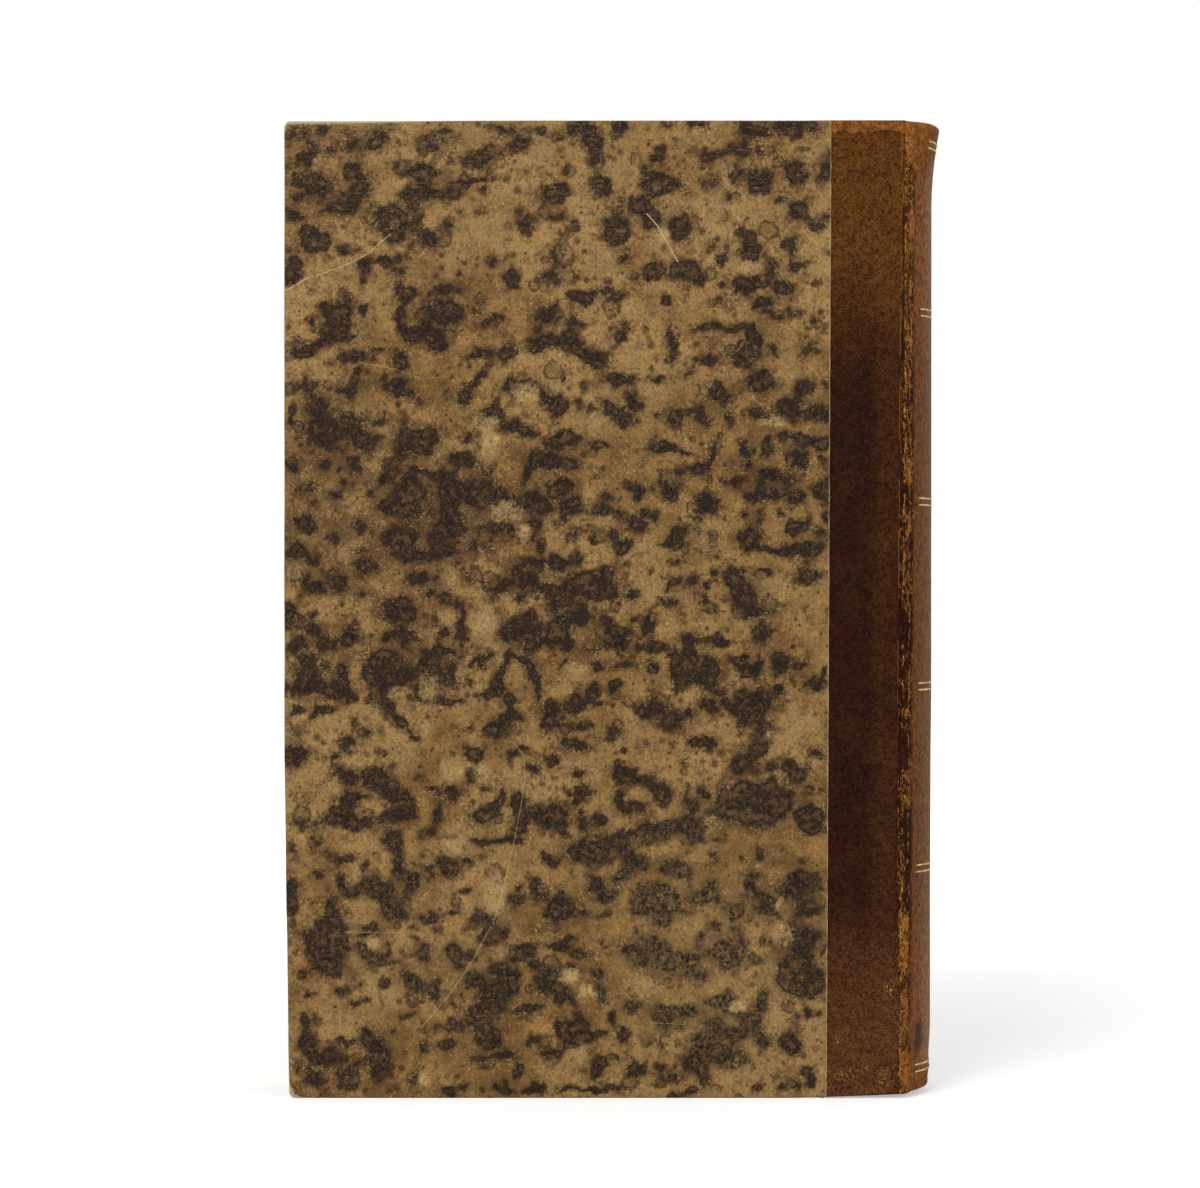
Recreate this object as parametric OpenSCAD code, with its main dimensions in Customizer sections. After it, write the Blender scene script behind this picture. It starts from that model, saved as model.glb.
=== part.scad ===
/* [Book] */
// Height of the covers, tail to head
cover_h = 220; // [160:1:320]
// Width of a cover, fore-edge to joint
cover_w = 139.7; // [100:1:240]
// Thickness over both covers, measured at the leather
book_t = 30; // [20:1:60]
// How far the covers stand past the leaves at head, tail and fore-edge
square_w = 3; // [2.5:0.5:5]

/* [Boards] */
// Thickness of a millboard
board_t = 2.2; // [1.6:0.1:4]
// Rounding of a cover's two fore-edge corners
corner_r = 1.4; // [0.6:0.1:6]
// How far the fore-edge stands in at the tail, where the covers are out of square
fore_in = 1.1; // [0.2:0.1:4]
// Height above the tail at which it starts to stand in
fore_in_h = 77; // [20:1:150]
// How far wear has taken up the covers' tail at the joint
tail_wear = 0.9; // [0.2:0.1:2]
// Width of that wear, from the joint towards the fore-edge
tail_wear_w = 25; // [10:1:60]
// Clear width of a joint, between the board and the shoulder
joint_gap = 0.3; // [0.2:0.05:0.6]

/* [Covering leather] */
// Thickness of the leather on the spine and the boards
leather_t = 0.6; // [0.4:0.05:1]
// Leather showing on a board at the head
leather_show_head = 16.6; // [8:0.1:30]
// Leather showing on a board at the tail
leather_show_tail = 17.7; // [8:0.1:30]
// How far the pared leather reaches on under the marbled paper
paper_lap = 4; // [2:0.5:8]
// Thickness of the leather at its pared edge
pared_t = 0.1; // [0.05:0.05:0.2]

/* [Papers] */
// Thickness of the marbled paper
marbled_t = 0.25; // [0.15:0.05:0.4]
// Width of the turn-ins inside the covers
turn_in = 15; // [8:1:25]
// Thickness of a pastedown
pastedown_t = 0.2; // [0.1:0.05:0.3]
// Margin of turn-in left showing round a pastedown
pastedown_margin = 3; // [1:0.5:6]
// Thickness of a flyleaf
flyleaf_t = 0.2; // [0.1:0.05:0.3]
// Air between a pastedown and its flyleaf
endpaper_gap = 0.15; // [0.1:0.05:0.5]

/* [Spine] */
// How far the rounded spine stands out past the joints
spine_bulge = 7.2; // [4:0.2:9]
// How far the leather flares out at the head
head_flare = 2; // [0.5:0.1:3]
// Height over which the head flares
flare_h = 20; // [10:1:40]
// Rounding of the headcap
headcap_r = 1.2; // [1:0.1:2]
// Rounding of the worn tailcap
tailcap_r = 2.4; // [1:0.1:3]
// Height of the tailcap above the covers' tail
tailcap_lift = 0.5; // [0.2:0.1:0.6]
// How far the caps reach in over the endbands
cap_lip = 3; // [2:0.5:4]
// Thickness of the leather turned in at the caps
cap_turn_t = 0.4; // [0.2:0.05:0.45]
// Depth to which the leather is turned in behind the caps
cap_turn_in = 14; // [8:1:20]
// Wall of the paper tube of the hollow back
hollow_wall = 0.15; // [0.1:0.05:0.2]
// Air inside the hollow back
hollow_air = 0.2; // [0.1:0.05:0.4]
// Thickness of the linen glued to the backed leaves
linen_t = 0.2; // [0.15:0.05:0.3]
// Glue line on each side of the hollow back's tube
glue_t = 0.03; // [0.02:0.01:0.05]

/* [Sewing] */
// Number of sewing cords
cord_count = 5; // [3:1:5]
// Diameter of a sewing cord
cord_d = 1.6; // [1:0.1:2]
// Height of the outer cords from the covers' head and tail
cord_end = 22; // [20:1:30]
// Play round a cord in its kerf, and round a slip in its board
sewing_fit = 0.05; // [0.03:0.01:0.1]
// Length of a laced-in slip along the board
slip_l = 12; // [6:0.5:16]
// Width of a frayed-out slip
slip_w = 5; // [3:0.5:8]
// Thickness of a frayed-out slip
slip_t = 0.6; // [0.3:0.1:0.9]
// Diameter of the lacing hole
slip_hole_d = 2; // [1.5:0.1:2.5]

/* [Endbands] */
// Diameter of the endband's bead
bead_d = 1.4; // [0.8:0.1:1.4]
// Thickness of the tab that holds an endband to the spine
tab_t = 0.25; // [0.15:0.05:0.25]
// Height of the tab
tab_h = 9; // [5:1:14]

/* [Gilt rules] */
// Width of one gilt line
rule_w = 0.4; // [0.2:0.05:0.8]
// Spacing of the two lines of a pair
rule_pitch = 1.5; // [1:0.1:3]
// Depth of the gilt lines' impressions
rule_depth = 0.1; // [0.05:0.01:0.15]
// Middle of the first pair below the head
rule_head = 4.9; // [3:0.1:12]
// Middle of the last pair above the tail
rule_tail = 6.4; // [5:0.1:12]
// Bare leather between the joint and the lines' ends, round the spine
rule_bare = 5.5; // [3:0.1:12]

/* [Hidden] */
$fn = 128;

// Where the pairs of gilt lines stand, from the last (0) to the first (1), as tooled by hand
RULE_PLACES = [0, 0.216, 0.413, 0.613, 0.818, 1];

// The spine's curve: an arc through both joints, standing out by spine_bulge
spine_r = (pow(book_t / 2, 2) + pow(spine_bulge, 2)) / (2 * spine_bulge);
flare_r = (pow(flare_h, 2) + pow(head_flare, 2)) / (2 * head_flare);
headcap_out = flare_r - sqrt(pow(flare_r, 2) - pow(flare_h - headcap_r, 2));

// Along X: fore-edge, joint, and the middle of the spine's curve
total_w = cover_w + spine_bulge + headcap_out;
fore_x = -total_w / 2;
joint_x = fore_x + cover_w;
spine_x = joint_x + spine_bulge - spine_r;
board_end_x = joint_x - joint_gap / 2;
shoulder_x = joint_x + joint_gap / 2;

// Across Y, from the outside of a cover inwards
board_out_y = book_t / 2 - leather_t;
board_in_y = board_out_y - board_t;
turn_in_y = board_in_y - marbled_t;
pastedown_y = turn_in_y - pastedown_t;
flyleaf_y = pastedown_y - endpaper_gap;
block_y = flyleaf_y - flyleaf_t;

// Round the spine, from the leather inwards
hollow_r = spine_r - leather_t;
linen_r = hollow_r - 2 * hollow_wall - hollow_air - 2 * glue_t;
block_r = linen_r - linen_t;

// The leaves
block_x = fore_x + square_w;
block_h = cover_h - 2 * square_w;
hollow_fore_x = block_x - sqrt(pow(block_r, 2) - pow(block_y, 2));

// The leather is pared from just before the paper's cut edge to the end of the lap
pare_lead = 0.6;
pare_from_x = joint_x - min(leather_show_head, leather_show_tail) + pare_lead;
pare_to_x = joint_x - max(leather_show_head, leather_show_tail) - paper_lap;
paper_ramp = 1;

// Spine linings stop short of what is turned in or glued on at head and tail
lining_clear = 2;
linen_end = square_w + tab_h + lining_clear / 4;
hollow_end = cap_turn_in + lining_clear;
hollow_angle = acos((shoulder_x - spine_x) / linen_r) - 2;
hollow_seam = 3;
rule_angle = acos((joint_x - spine_x) / spine_r) - rule_bare / spine_r * 180 / PI;

// More than any cut has to reach
reach = cover_h + cover_w;

ROOT_NODES = [
    "text_block", "spine_linen", "spine_hollow", "spine_leather", "gilt_rules",
    "head_endband", "tail_endband", "front_flyleaf", "rear_flyleaf"
];
COVER_PIECES = ["board", "marbled_paper", "leather_side", "pastedown"];
SIDES = ["front", "rear"];

function cord_z(i) = cord_end + (i - 1) * (cover_h - 2 * cord_end) / (cord_count - 1);
function rule_z(place) = rule_tail + place * (cover_h - rule_head - rule_tail);

// The front cover is made on the +Y side; the rear one is its mirror image
module on_side(side) {
    if (side == "front") children();
    else mirror([0, 1, 0]) children();
}

// What lies round the spine, past the joints and within the book's thickness
module spine_part() {
    intersection() {
        children();
        translate([shoulder_x, -book_t / 2, 0]) cube([spine_bulge + head_flare + 1, book_t, cover_h]);
    }
}

// A profile of radius and height, turned round the spine's curve
module turned(angle = 90) {
    translate([spine_x, 0, 0]) rotate_extrude(angle = 2 * angle, start = -angle) children();
}

// The four sides of a section between two radii and two heights
module wall(r_in, r_out, z_low, z_high) {
    translate([r_in, z_low]) square([r_out - r_in, z_high - z_low]);
}

// The space outside a rounded corner whose arc is centred on c; up is 1 at the head and -1 at the tail
module outside_corner(c, r, up) {
    difference() {
        translate([c[0], up > 0 ? c[1] : c[1] - reach]) square([reach, reach]);
        translate(c) circle(r);
    }
}

// Half section of the covered spine, taken in from the leather's outside by inset.
// Wear has thinned the caps' corners, so inside they are sharper than their thickness alone would make them
module spine_section(inset) {
    tightening = 1.5;
    least_r = 0.02;
    head_r = max(headcap_r - tightening * inset, least_r);
    tail_r = max(tailcap_r - tightening * inset, least_r);
    head_corner_r = spine_r + headcap_out - inset - head_r;
    difference() {
        wall(0, spine_r + head_flare, tailcap_lift + inset, cover_h - inset);
        wall(spine_r - inset, spine_r + reach, -1, cover_h - flare_h);
        translate([spine_r + flare_r, cover_h - flare_h]) circle(flare_r + inset);
        outside_corner([head_corner_r, cover_h - inset - head_r], head_r, 1);
        outside_corner([spine_r - inset - tail_r, tailcap_lift + inset + tail_r], tail_r, -1);
    }
}

// One layer of that section, between two depths
module spine_layer(outer, inner) {
    difference() {
        spine_section(outer);
        spine_section(inner);
    }
}

// All gilt lines as one section, rule_depth thick and flush with the leather
module rule_lines() {
    intersection() {
        spine_layer(0, rule_depth);
        for (place = RULE_PLACES) for (side = [-1, 1])
            translate([0, rule_z(place) + side * rule_pitch / 2 - rule_w / 2])
                square([spine_r + reach, rule_w]);
    }
}

// Leather over the spine, turned in at head and tail and shaped into caps over the endbands
module spine_leather() {
    color("#4a2a16") spine_part() difference() {
        turned() intersection() {
            wall(spine_r - cap_lip, spine_r + reach, 0, cover_h);
            union() {
                spine_layer(0, leather_t);
                intersection() {
                    spine_layer(leather_t, leather_t + cap_turn_t);
                    union() {
                        wall(0, reach, 0, cap_turn_in);
                        wall(0, reach, cover_h - cap_turn_in, cover_h);
                    }
                }
            }
        }
        turned(rule_angle) rule_lines();
    }
}

module gilt_rules() {
    color("#c9a24a") turned(rule_angle) rule_lines();
}

// Flattened paper tube between the leather and the linen, which lets the spine open hollow
module spine_hollow() {
    color("#a8946c") difference() {
        turned(hollow_angle) wall(linen_r + glue_t, hollow_r - glue_t, hollow_end, cover_h - hollow_end);
        turned(hollow_angle - hollow_seam)
            wall(linen_r + glue_t + hollow_wall, hollow_r - glue_t - hollow_wall, 0, cover_h);
    }
}

module spine_linen() {
    color("#cbbd9a") spine_part() turned() wall(block_r, linen_r, linen_end, cover_h - linen_end);
}

// An endband: a worked bead on the leaves' edge, and a tab glued to the backed spine
module endband() {
    bead_r = bead_d / 2;
    color("#b98a4a") spine_part() turned() {
        translate([block_r - bead_r + tab_t, cover_h - square_w + bead_r]) circle(bead_r);
        wall(block_r, block_r + tab_t, cover_h - square_w - tab_h, cover_h - square_w + bead_r);
    }
}

module head_endband() {
    endband();
}

module tail_endband() {
    translate([0, 0, cover_h]) mirror([0, 0, 1]) endband();
}

// Outline of the leaves seen from the head: rounded and backed spine, shoulders, hollow fore-edge
module block_outline() {
    difference() {
        union() {
            translate([block_x, -block_y]) square([shoulder_x - block_x + joint_gap, 2 * block_y]);
            intersection() {
                translate([spine_x, 0]) circle(block_r);
                translate([shoulder_x, -book_t / 2]) square([spine_bulge, book_t]);
            }
        }
        translate([hollow_fore_x, 0]) circle(block_r);
    }
}

// The sewn leaves, one solid, with a kerf sawn across the spine for each cord
module text_block() {
    kerf = cord_d + 2 * sewing_fit;
    color("#d9cba6") difference() {
        translate([0, 0, square_w]) linear_extrude(block_h) block_outline();
        for (i = [1:cord_count]) translate([0, 0, cord_z(i)])
            turned() wall(block_r - kerf, block_r + reach, -kerf / 2, kerf / 2);
    }
}

module sewing_cord(i) {
    color("#b7a47c") spine_part() translate([0, 0, cord_z(i)])
        turned() translate([block_r - cord_d / 2 - sewing_fit, 0]) circle(d = cord_d);
}

module flyleaf(side) {
    color("#d5c7a4") on_side(side)
        translate([block_x, block_y, square_w]) cube([shoulder_x - block_x, flyleaf_t, block_h]);
}

// A cover's outline in X and Z, taken in by inset: the tail half of the fore-edge stands in,
// and the tail is worn up towards the joint
module cover_outline(inset) {
    r = max(corner_r - inset, 0.05);
    x = fore_x + inset;
    head = [x + r, cover_h - inset - r];
    slant = atan(fore_in / fore_in_h);
    along = r * [cos(slant), sin(slant)];
    tail_z = inset + r;
    tail = [x + fore_in * (1 - tail_z / fore_in_h) + r / cos(slant), tail_z];
    below = -fore_in_h / 10;
    worn_x = board_end_x - tail_wear_w;
    difference() {
        translate([x, inset]) square([board_end_x - x, cover_h - 2 * inset]);
        polygon([[x, fore_in_h], [x + 1.1 * fore_in, below], [x - r, below], [x - r, fore_in_h]]);
        polygon([
            [worn_x, inset], [worn_x + 2 * tail_wear_w, inset + 2 * tail_wear],
            [worn_x + 2 * tail_wear_w, below], [worn_x, below]
        ]);
        difference() {
            translate([x - r, head[1]]) square(2 * r);
            translate(head) circle(r);
        }
        difference() {
            polygon([tail, tail - 2 * along, tail - [2 * r, 2 * r], tail - [0, 2 * r]]);
            translate(tail) circle(r);
        }
    }
}

// A plate with that outline, from y_low to y_high
module cover_plate(inset, y_low, y_high) {
    translate([0, y_high, 0]) rotate([90, 0, 0]) linear_extrude(y_high - y_low) cover_outline(inset);
}

// The joint side of the paper's slanting cut edge
module leather_side_of_cut() {
    slant = atan((leather_show_tail - leather_show_head) / cover_h);
    intersection() {
        children();
        translate([joint_x - leather_show_tail, 0, 0]) rotate([0, slant, 0])
            translate([0, 0, -reach]) cube([reach, reach, 2 * reach]);
    }
}

// What is left of children on the fore-edge side of that cut
module paper_side_of_cut() {
    slant = atan((leather_show_tail - leather_show_head) / cover_h);
    difference() {
        children();
        translate([joint_x - leather_show_tail, 0, 0]) rotate([0, slant, 0])
            translate([0, 0, -reach]) cube([reach, reach, 2 * reach]);
    }
}

// Inside the covers the turn-ins leave the middle of the board bare
module turn_in_window(from_x) {
    translate([from_x, 0, turn_in]) cube([reach, board_in_y, cover_h - 2 * turn_in]);
}

// A slip with all its sides moved out by fit
module slip_form(i, fit) {
    hole_x = board_end_x - slip_l + slip_w / 2;
    translate([board_end_x - slip_l - fit, board_out_y - slip_t - fit, cord_z(i) - slip_w / 2 - fit])
        cube([slip_l + 2 * fit, slip_t + 2 * fit, slip_w + 2 * fit]);
    translate([hole_x, board_out_y - slip_t / 2, cord_z(i)]) rotate([90, 0, 0])
        cylinder(d = slip_hole_d + 2 * fit, h = board_t - slip_t / 2 + fit);
}

// Sewing slip, frayed out in its channel on the board and laced through to the inside
module slip(side, i) {
    color("#c4b48c") on_side(side) intersection() {
        slip_form(i, 0);
        cover_plate(marbled_t, board_in_y, board_out_y);
    }
}

module board(side) {
    color("#6f6350") on_side(side) difference() {
        cover_plate(marbled_t, board_in_y, board_out_y);
        for (i = [1:cord_count]) slip_form(i, sewing_fit);
    }
}

// The leather's face on the board, pared away under the paper
module pared_strip() {
    intersection() {
        cover_plate(marbled_t, board_out_y, board_out_y + leather_t);
        linear_extrude(cover_h) polygon([
            [pare_to_x, board_out_y], [pare_to_x, board_out_y + pared_t],
            [pare_from_x, board_out_y + leather_t], [board_end_x, board_out_y + leather_t],
            [board_end_x, board_out_y]
        ]);
    }
}

// Leather on a board, turned over its head and tail
module leather_side(side) {
    color("#3d2213") on_side(side) union() {
        pared_strip();
        leather_side_of_cut() difference() {
            cover_plate(0, turn_in_y, board_out_y + leather_t);
            cover_plate(marbled_t, board_in_y, board_out_y);
            turn_in_window(joint_x - cover_w);
        }
    }
}

// Outside of the marbled paper, which climbs on to the pared leather
module paper_face() {
    linear_extrude(cover_h) polygon([
        [fore_x, 0], [fore_x, board_out_y + marbled_t],
        [pare_to_x - paper_ramp, board_out_y + marbled_t],
        [pare_to_x, board_out_y + pared_t + marbled_t],
        [pare_from_x, board_out_y + leather_t + marbled_t],
        [board_end_x, board_out_y + leather_t + marbled_t], [board_end_x, 0]
    ]);
}

// Marbled paper, turned over the fore-edge, head and tail
module marbled_paper(side) {
    color("#8a7248") on_side(side) paper_side_of_cut() difference() {
        intersection() {
            cover_plate(0, turn_in_y, book_t / 2 + marbled_t);
            paper_face();
        }
        cover_plate(marbled_t, board_in_y, board_out_y);
        pared_strip();
        turn_in_window(fore_x + turn_in);
    }
}

// Pastedown, filled out level between the turn-ins
module pastedown(side) {
    sheet_x = fore_x + pastedown_margin;
    fill_x = fore_x + turn_in;
    color("#d2c49e") on_side(side) {
        translate([sheet_x, pastedown_y, pastedown_margin])
            cube([board_end_x - sheet_x, pastedown_t, cover_h - 2 * pastedown_margin]);
        translate([fill_x, pastedown_y, turn_in])
            cube([board_end_x - fill_x, board_in_y - pastedown_y, cover_h - 2 * turn_in]);
    }
}

text_block();
spine_linen();
spine_hollow();
spine_leather();
gilt_rules();
head_endband();
tail_endband();
for (i = [1:cord_count])
    sewing_cord(i);
for (side = SIDES) {
    flyleaf(side);
    board(side);
    marbled_paper(side);
    leather_side(side);
    pastedown(side);
    for (i = [1:cord_count])
        slip(side, i);
}
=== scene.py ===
import math
import bmesh
import bpy
import numpy as np
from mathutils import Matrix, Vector


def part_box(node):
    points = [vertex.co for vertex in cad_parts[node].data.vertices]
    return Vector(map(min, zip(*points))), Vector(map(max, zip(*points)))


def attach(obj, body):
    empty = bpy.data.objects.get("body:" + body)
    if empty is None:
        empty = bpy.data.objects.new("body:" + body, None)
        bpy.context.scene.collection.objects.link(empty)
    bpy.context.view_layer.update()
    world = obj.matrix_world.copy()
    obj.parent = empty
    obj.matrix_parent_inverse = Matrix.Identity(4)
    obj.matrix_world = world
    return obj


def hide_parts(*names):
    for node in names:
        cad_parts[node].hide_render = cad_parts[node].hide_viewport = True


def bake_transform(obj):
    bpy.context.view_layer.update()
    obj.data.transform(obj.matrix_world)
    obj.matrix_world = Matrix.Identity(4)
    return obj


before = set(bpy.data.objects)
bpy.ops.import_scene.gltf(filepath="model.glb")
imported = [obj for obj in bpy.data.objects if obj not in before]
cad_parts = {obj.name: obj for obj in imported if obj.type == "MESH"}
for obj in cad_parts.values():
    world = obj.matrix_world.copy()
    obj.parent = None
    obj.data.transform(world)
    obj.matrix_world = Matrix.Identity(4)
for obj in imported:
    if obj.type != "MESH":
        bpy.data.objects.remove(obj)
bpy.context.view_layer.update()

# Lengths below are in millimetres in the book's own frame: X runs from the fore-edge to the spine,
# Y from the rear cover to the front one, Z from the tail to the head.
MM = 0.001


def node_box(name):
    """A CAD node's lowest and highest corners, in millimetres."""
    return [np.array(corner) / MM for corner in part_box(name)]


# Sizes read from the frame
PAPER_LOW, PAPER_HIGH = node_box("front_marbled_paper")
FORE_X = PAPER_LOW[0]
COVER_H = PAPER_HIGH[2]
LEATHER_Y = node_box("front_leather_side")[1][1]
TURN_IN_Y = PAPER_LOW[1]
BOARD_HIGH = node_box("front_board")[1]
SHOULDER_X = node_box("spine_leather")[0][0]
JOINT_X = (BOARD_HIGH[0] + SHOULDER_X) / 2
FLYLEAF_LOW, FLYLEAF_HIGH = node_box("front_flyleaf")
BLOCK_Y = FLYLEAF_LOW[1]
BLOCK_FORE_X = FLYLEAF_LOW[0]
BLOCK_LOW, BLOCK_HIGH = node_box("text_block")

# Sizes of the binding that the boxes don't give
SPINE_BULGE = 7.2
SPINE_R = (LEATHER_Y**2 + SPINE_BULGE**2) / (2 * SPINE_BULGE)
SPINE_X = JOINT_X + SPINE_BULGE - SPINE_R
SPINE_HALF_ANGLE = math.asin(LEATHER_Y / SPINE_R)
SPINE_HALF_ARC = SPINE_R * SPINE_HALF_ANGLE
BLOCK_R = BLOCK_HIGH[0] - SPINE_X
HEAD_FLARE = 2.0
FLARE_H = 20.0
LEATHER_SHOW_HEAD = 16.6
LEATHER_SHOW_TAIL = 17.7
PAPER_SHOW = 124
MARBLED_T = 0.25
FORE_IN = 1.1
FORE_IN_H = 77.0
TAIL_WEAR = 0.9
TAIL_WEAR_W = 25.0
LEATHER_T = 0.6
TURN_IN = 15.0

# The photograph: millimetres from the fore-edge and from the tail of its middle, its distance and
# its lens, and then the light and the floor, in metres
VIEW_MIDDLE = (71.1, 113.43)
VIEW_DISTANCE = 800.0
VIEW_LENS = 106.75
SENSOR_W = 36.0
LAMP_SIZE = 1.0
WORLD_LIGHT = 0.5
FLOOR_HALF = 3.0
FLOOR_WHITE = 0.82


# Small tools

def smooth(x, low, high):
    """Rises smoothly from 0 at low to 1 at high, or falls if low is the greater."""
    t = np.clip((np.asarray(x, float) - low) / (high - low), 0, 1)
    return t * t * (3 - 2 * t)


def mix(a, b, t):
    """From a where t is 0 to b where it is 1."""
    return a + (b - a) * t


def grain(x, y, seed):
    """Smooth noise from 0 to 1 with cells of one unit."""
    size = 256
    table = np.random.default_rng(seed).random((size, size))
    i, j = np.floor(x).astype(int), np.floor(y).astype(int)
    fx, fy = smooth(x - i, 0, 1), smooth(y - j, 0, 1)
    low = mix(table[i % size, j % size], table[(i + 1) % size, j % size], fx)
    high = mix(table[i % size, (j + 1) % size], table[(i + 1) % size, (j + 1) % size], fx)
    return mix(low, high, fy)


def cloud(x, y, cell, seed, layers=3):
    """Layered noise from 0 to 1 whose largest cells measure cell."""
    total, weight = 0, 0
    for layer in range(layers):
        share = 0.5**layer
        total = total + share * grain(x / cell * 2**layer, y / cell * 2**layer, seed + layer)
        weight += share
    return total / weight


def from_middle(x, y, middle_x, middle_y, width, height):
    """Distance from the middle of an oval of the given width and height, 1 at its rim."""
    return np.hypot((x - middle_x) / (width / 2), (y - middle_y) / (height / 2))


def tone(text):
    """A screen colour such as 8a7248 as the linear colour that a shader takes."""
    values = [int(text[i : i + 2], 16) / 255 for i in (0, 2, 4)]
    return tuple(v / 12.92 if v <= 0.04045 else ((v + 0.055) / 1.055) ** 2.4 for v in values) + (1.0,)


# Meshes

def make_piece(name, points, faces, material, attributes=None):
    """A smooth-shaded mesh object from points in millimetres."""
    mesh = bpy.data.meshes.new(name)
    mesh.from_pydata((np.asarray(points) * MM).tolist(), [], faces)
    mesh.polygons.foreach_set("use_smooth", [True] * len(mesh.polygons))
    for key, values in (attributes or {}).items():
        layer = mesh.attributes.new(key, "FLOAT", "POINT")
        layer.data.foreach_set("value", np.asarray(values, np.float32).ravel())
    mesh.materials.append(material)
    mesh.update()
    piece = bpy.data.objects.new(name, mesh)
    bpy.context.scene.collection.objects.link(piece)
    return piece


def quads(rows, columns, first=0, around=False, flip=False):
    """Faces of a grid of points stored row by row; around joins its last column to its first."""
    index = first + np.arange(rows * columns).reshape(rows, columns)
    if around:
        index = np.hstack([index, index[:, :1]])
    a, b, c, d = index[:-1, :-1], index[:-1, 1:], index[1:, 1:], index[1:, :-1]
    order = (a, d, c, b) if flip else (a, b, c, d)
    return np.stack(order, -1).reshape(-1, 4).tolist()


def grid_normals(points):
    """Unit normals of a grid of points, along rows crossed with along columns."""
    across = np.gradient(points, axis=1)
    along = np.gradient(points, axis=0)
    normal = np.cross(across, along)
    return normal / np.maximum(np.linalg.norm(normal, axis=-1, keepdims=True), 1e-9)


def thick_sheet(points, thickness):
    """A grid of points made into a closed sheet by a second grid behind it."""
    rows, columns = points.shape[:2]
    back = points - thickness * grid_normals(points)
    count = rows * columns
    faces = quads(rows, columns) + quads(rows, columns, count, flip=True)
    index = np.arange(count).reshape(rows, columns)
    ring = np.concatenate([index[0, :-1], index[:-1, -1], index[-1, :0:-1], index[:0:-1, 0]])
    after = np.roll(ring, -1)
    faces += np.stack([ring, ring + count, after + count, after], -1).tolist()
    return np.vstack([points.reshape(-1, 3), back.reshape(-1, 3)]), faces


def to_side(points, faces, side):
    """Puts what was made for the rear cover on the named side."""
    if side == "rear":
        return points, faces
    return points * np.array([1, -1, 1]), [face[::-1] for face in faces]


# Shaders

class Socket:
    """One output of a shader node. Arithmetic on it adds Math nodes."""

    def __init__(self, shader, link):
        self.shader, self.link = shader, link

    def math(self, operation, *others, clamp=False):
        """A Math node with this output first and the others after it."""
        settings = {"operation": operation, "use_clamp": clamp}
        return self.shader.node("ShaderNodeMath", settings, dict(enumerate((self, *others))))

    def __add__(self, other):
        return self.math("ADD", other)

    def __sub__(self, other):
        return self.math("SUBTRACT", other)

    def __rsub__(self, other):
        return self.shader.node("ShaderNodeMath", {"operation": "SUBTRACT"}, {0: other, 1: self})

    def __mul__(self, other):
        return self.math("MULTIPLY", other)

    def __truediv__(self, other):
        return self.math("DIVIDE", other)

    __radd__ = __add__
    __rmul__ = __mul__

    def clamp(self):
        """Held between 0 and 1."""
        return self.math("ADD", 0.0, clamp=True)

    def step(self, low, high):
        """Rises smoothly from 0 at low to 1 at high, or falls if low is the greater."""
        sockets = {0: self, 1: low, 2: high, 3: 0.0, 4: 1.0}
        return self.shader.node("ShaderNodeMapRange", {"interpolation_type": "SMOOTHSTEP"}, sockets)


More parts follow.
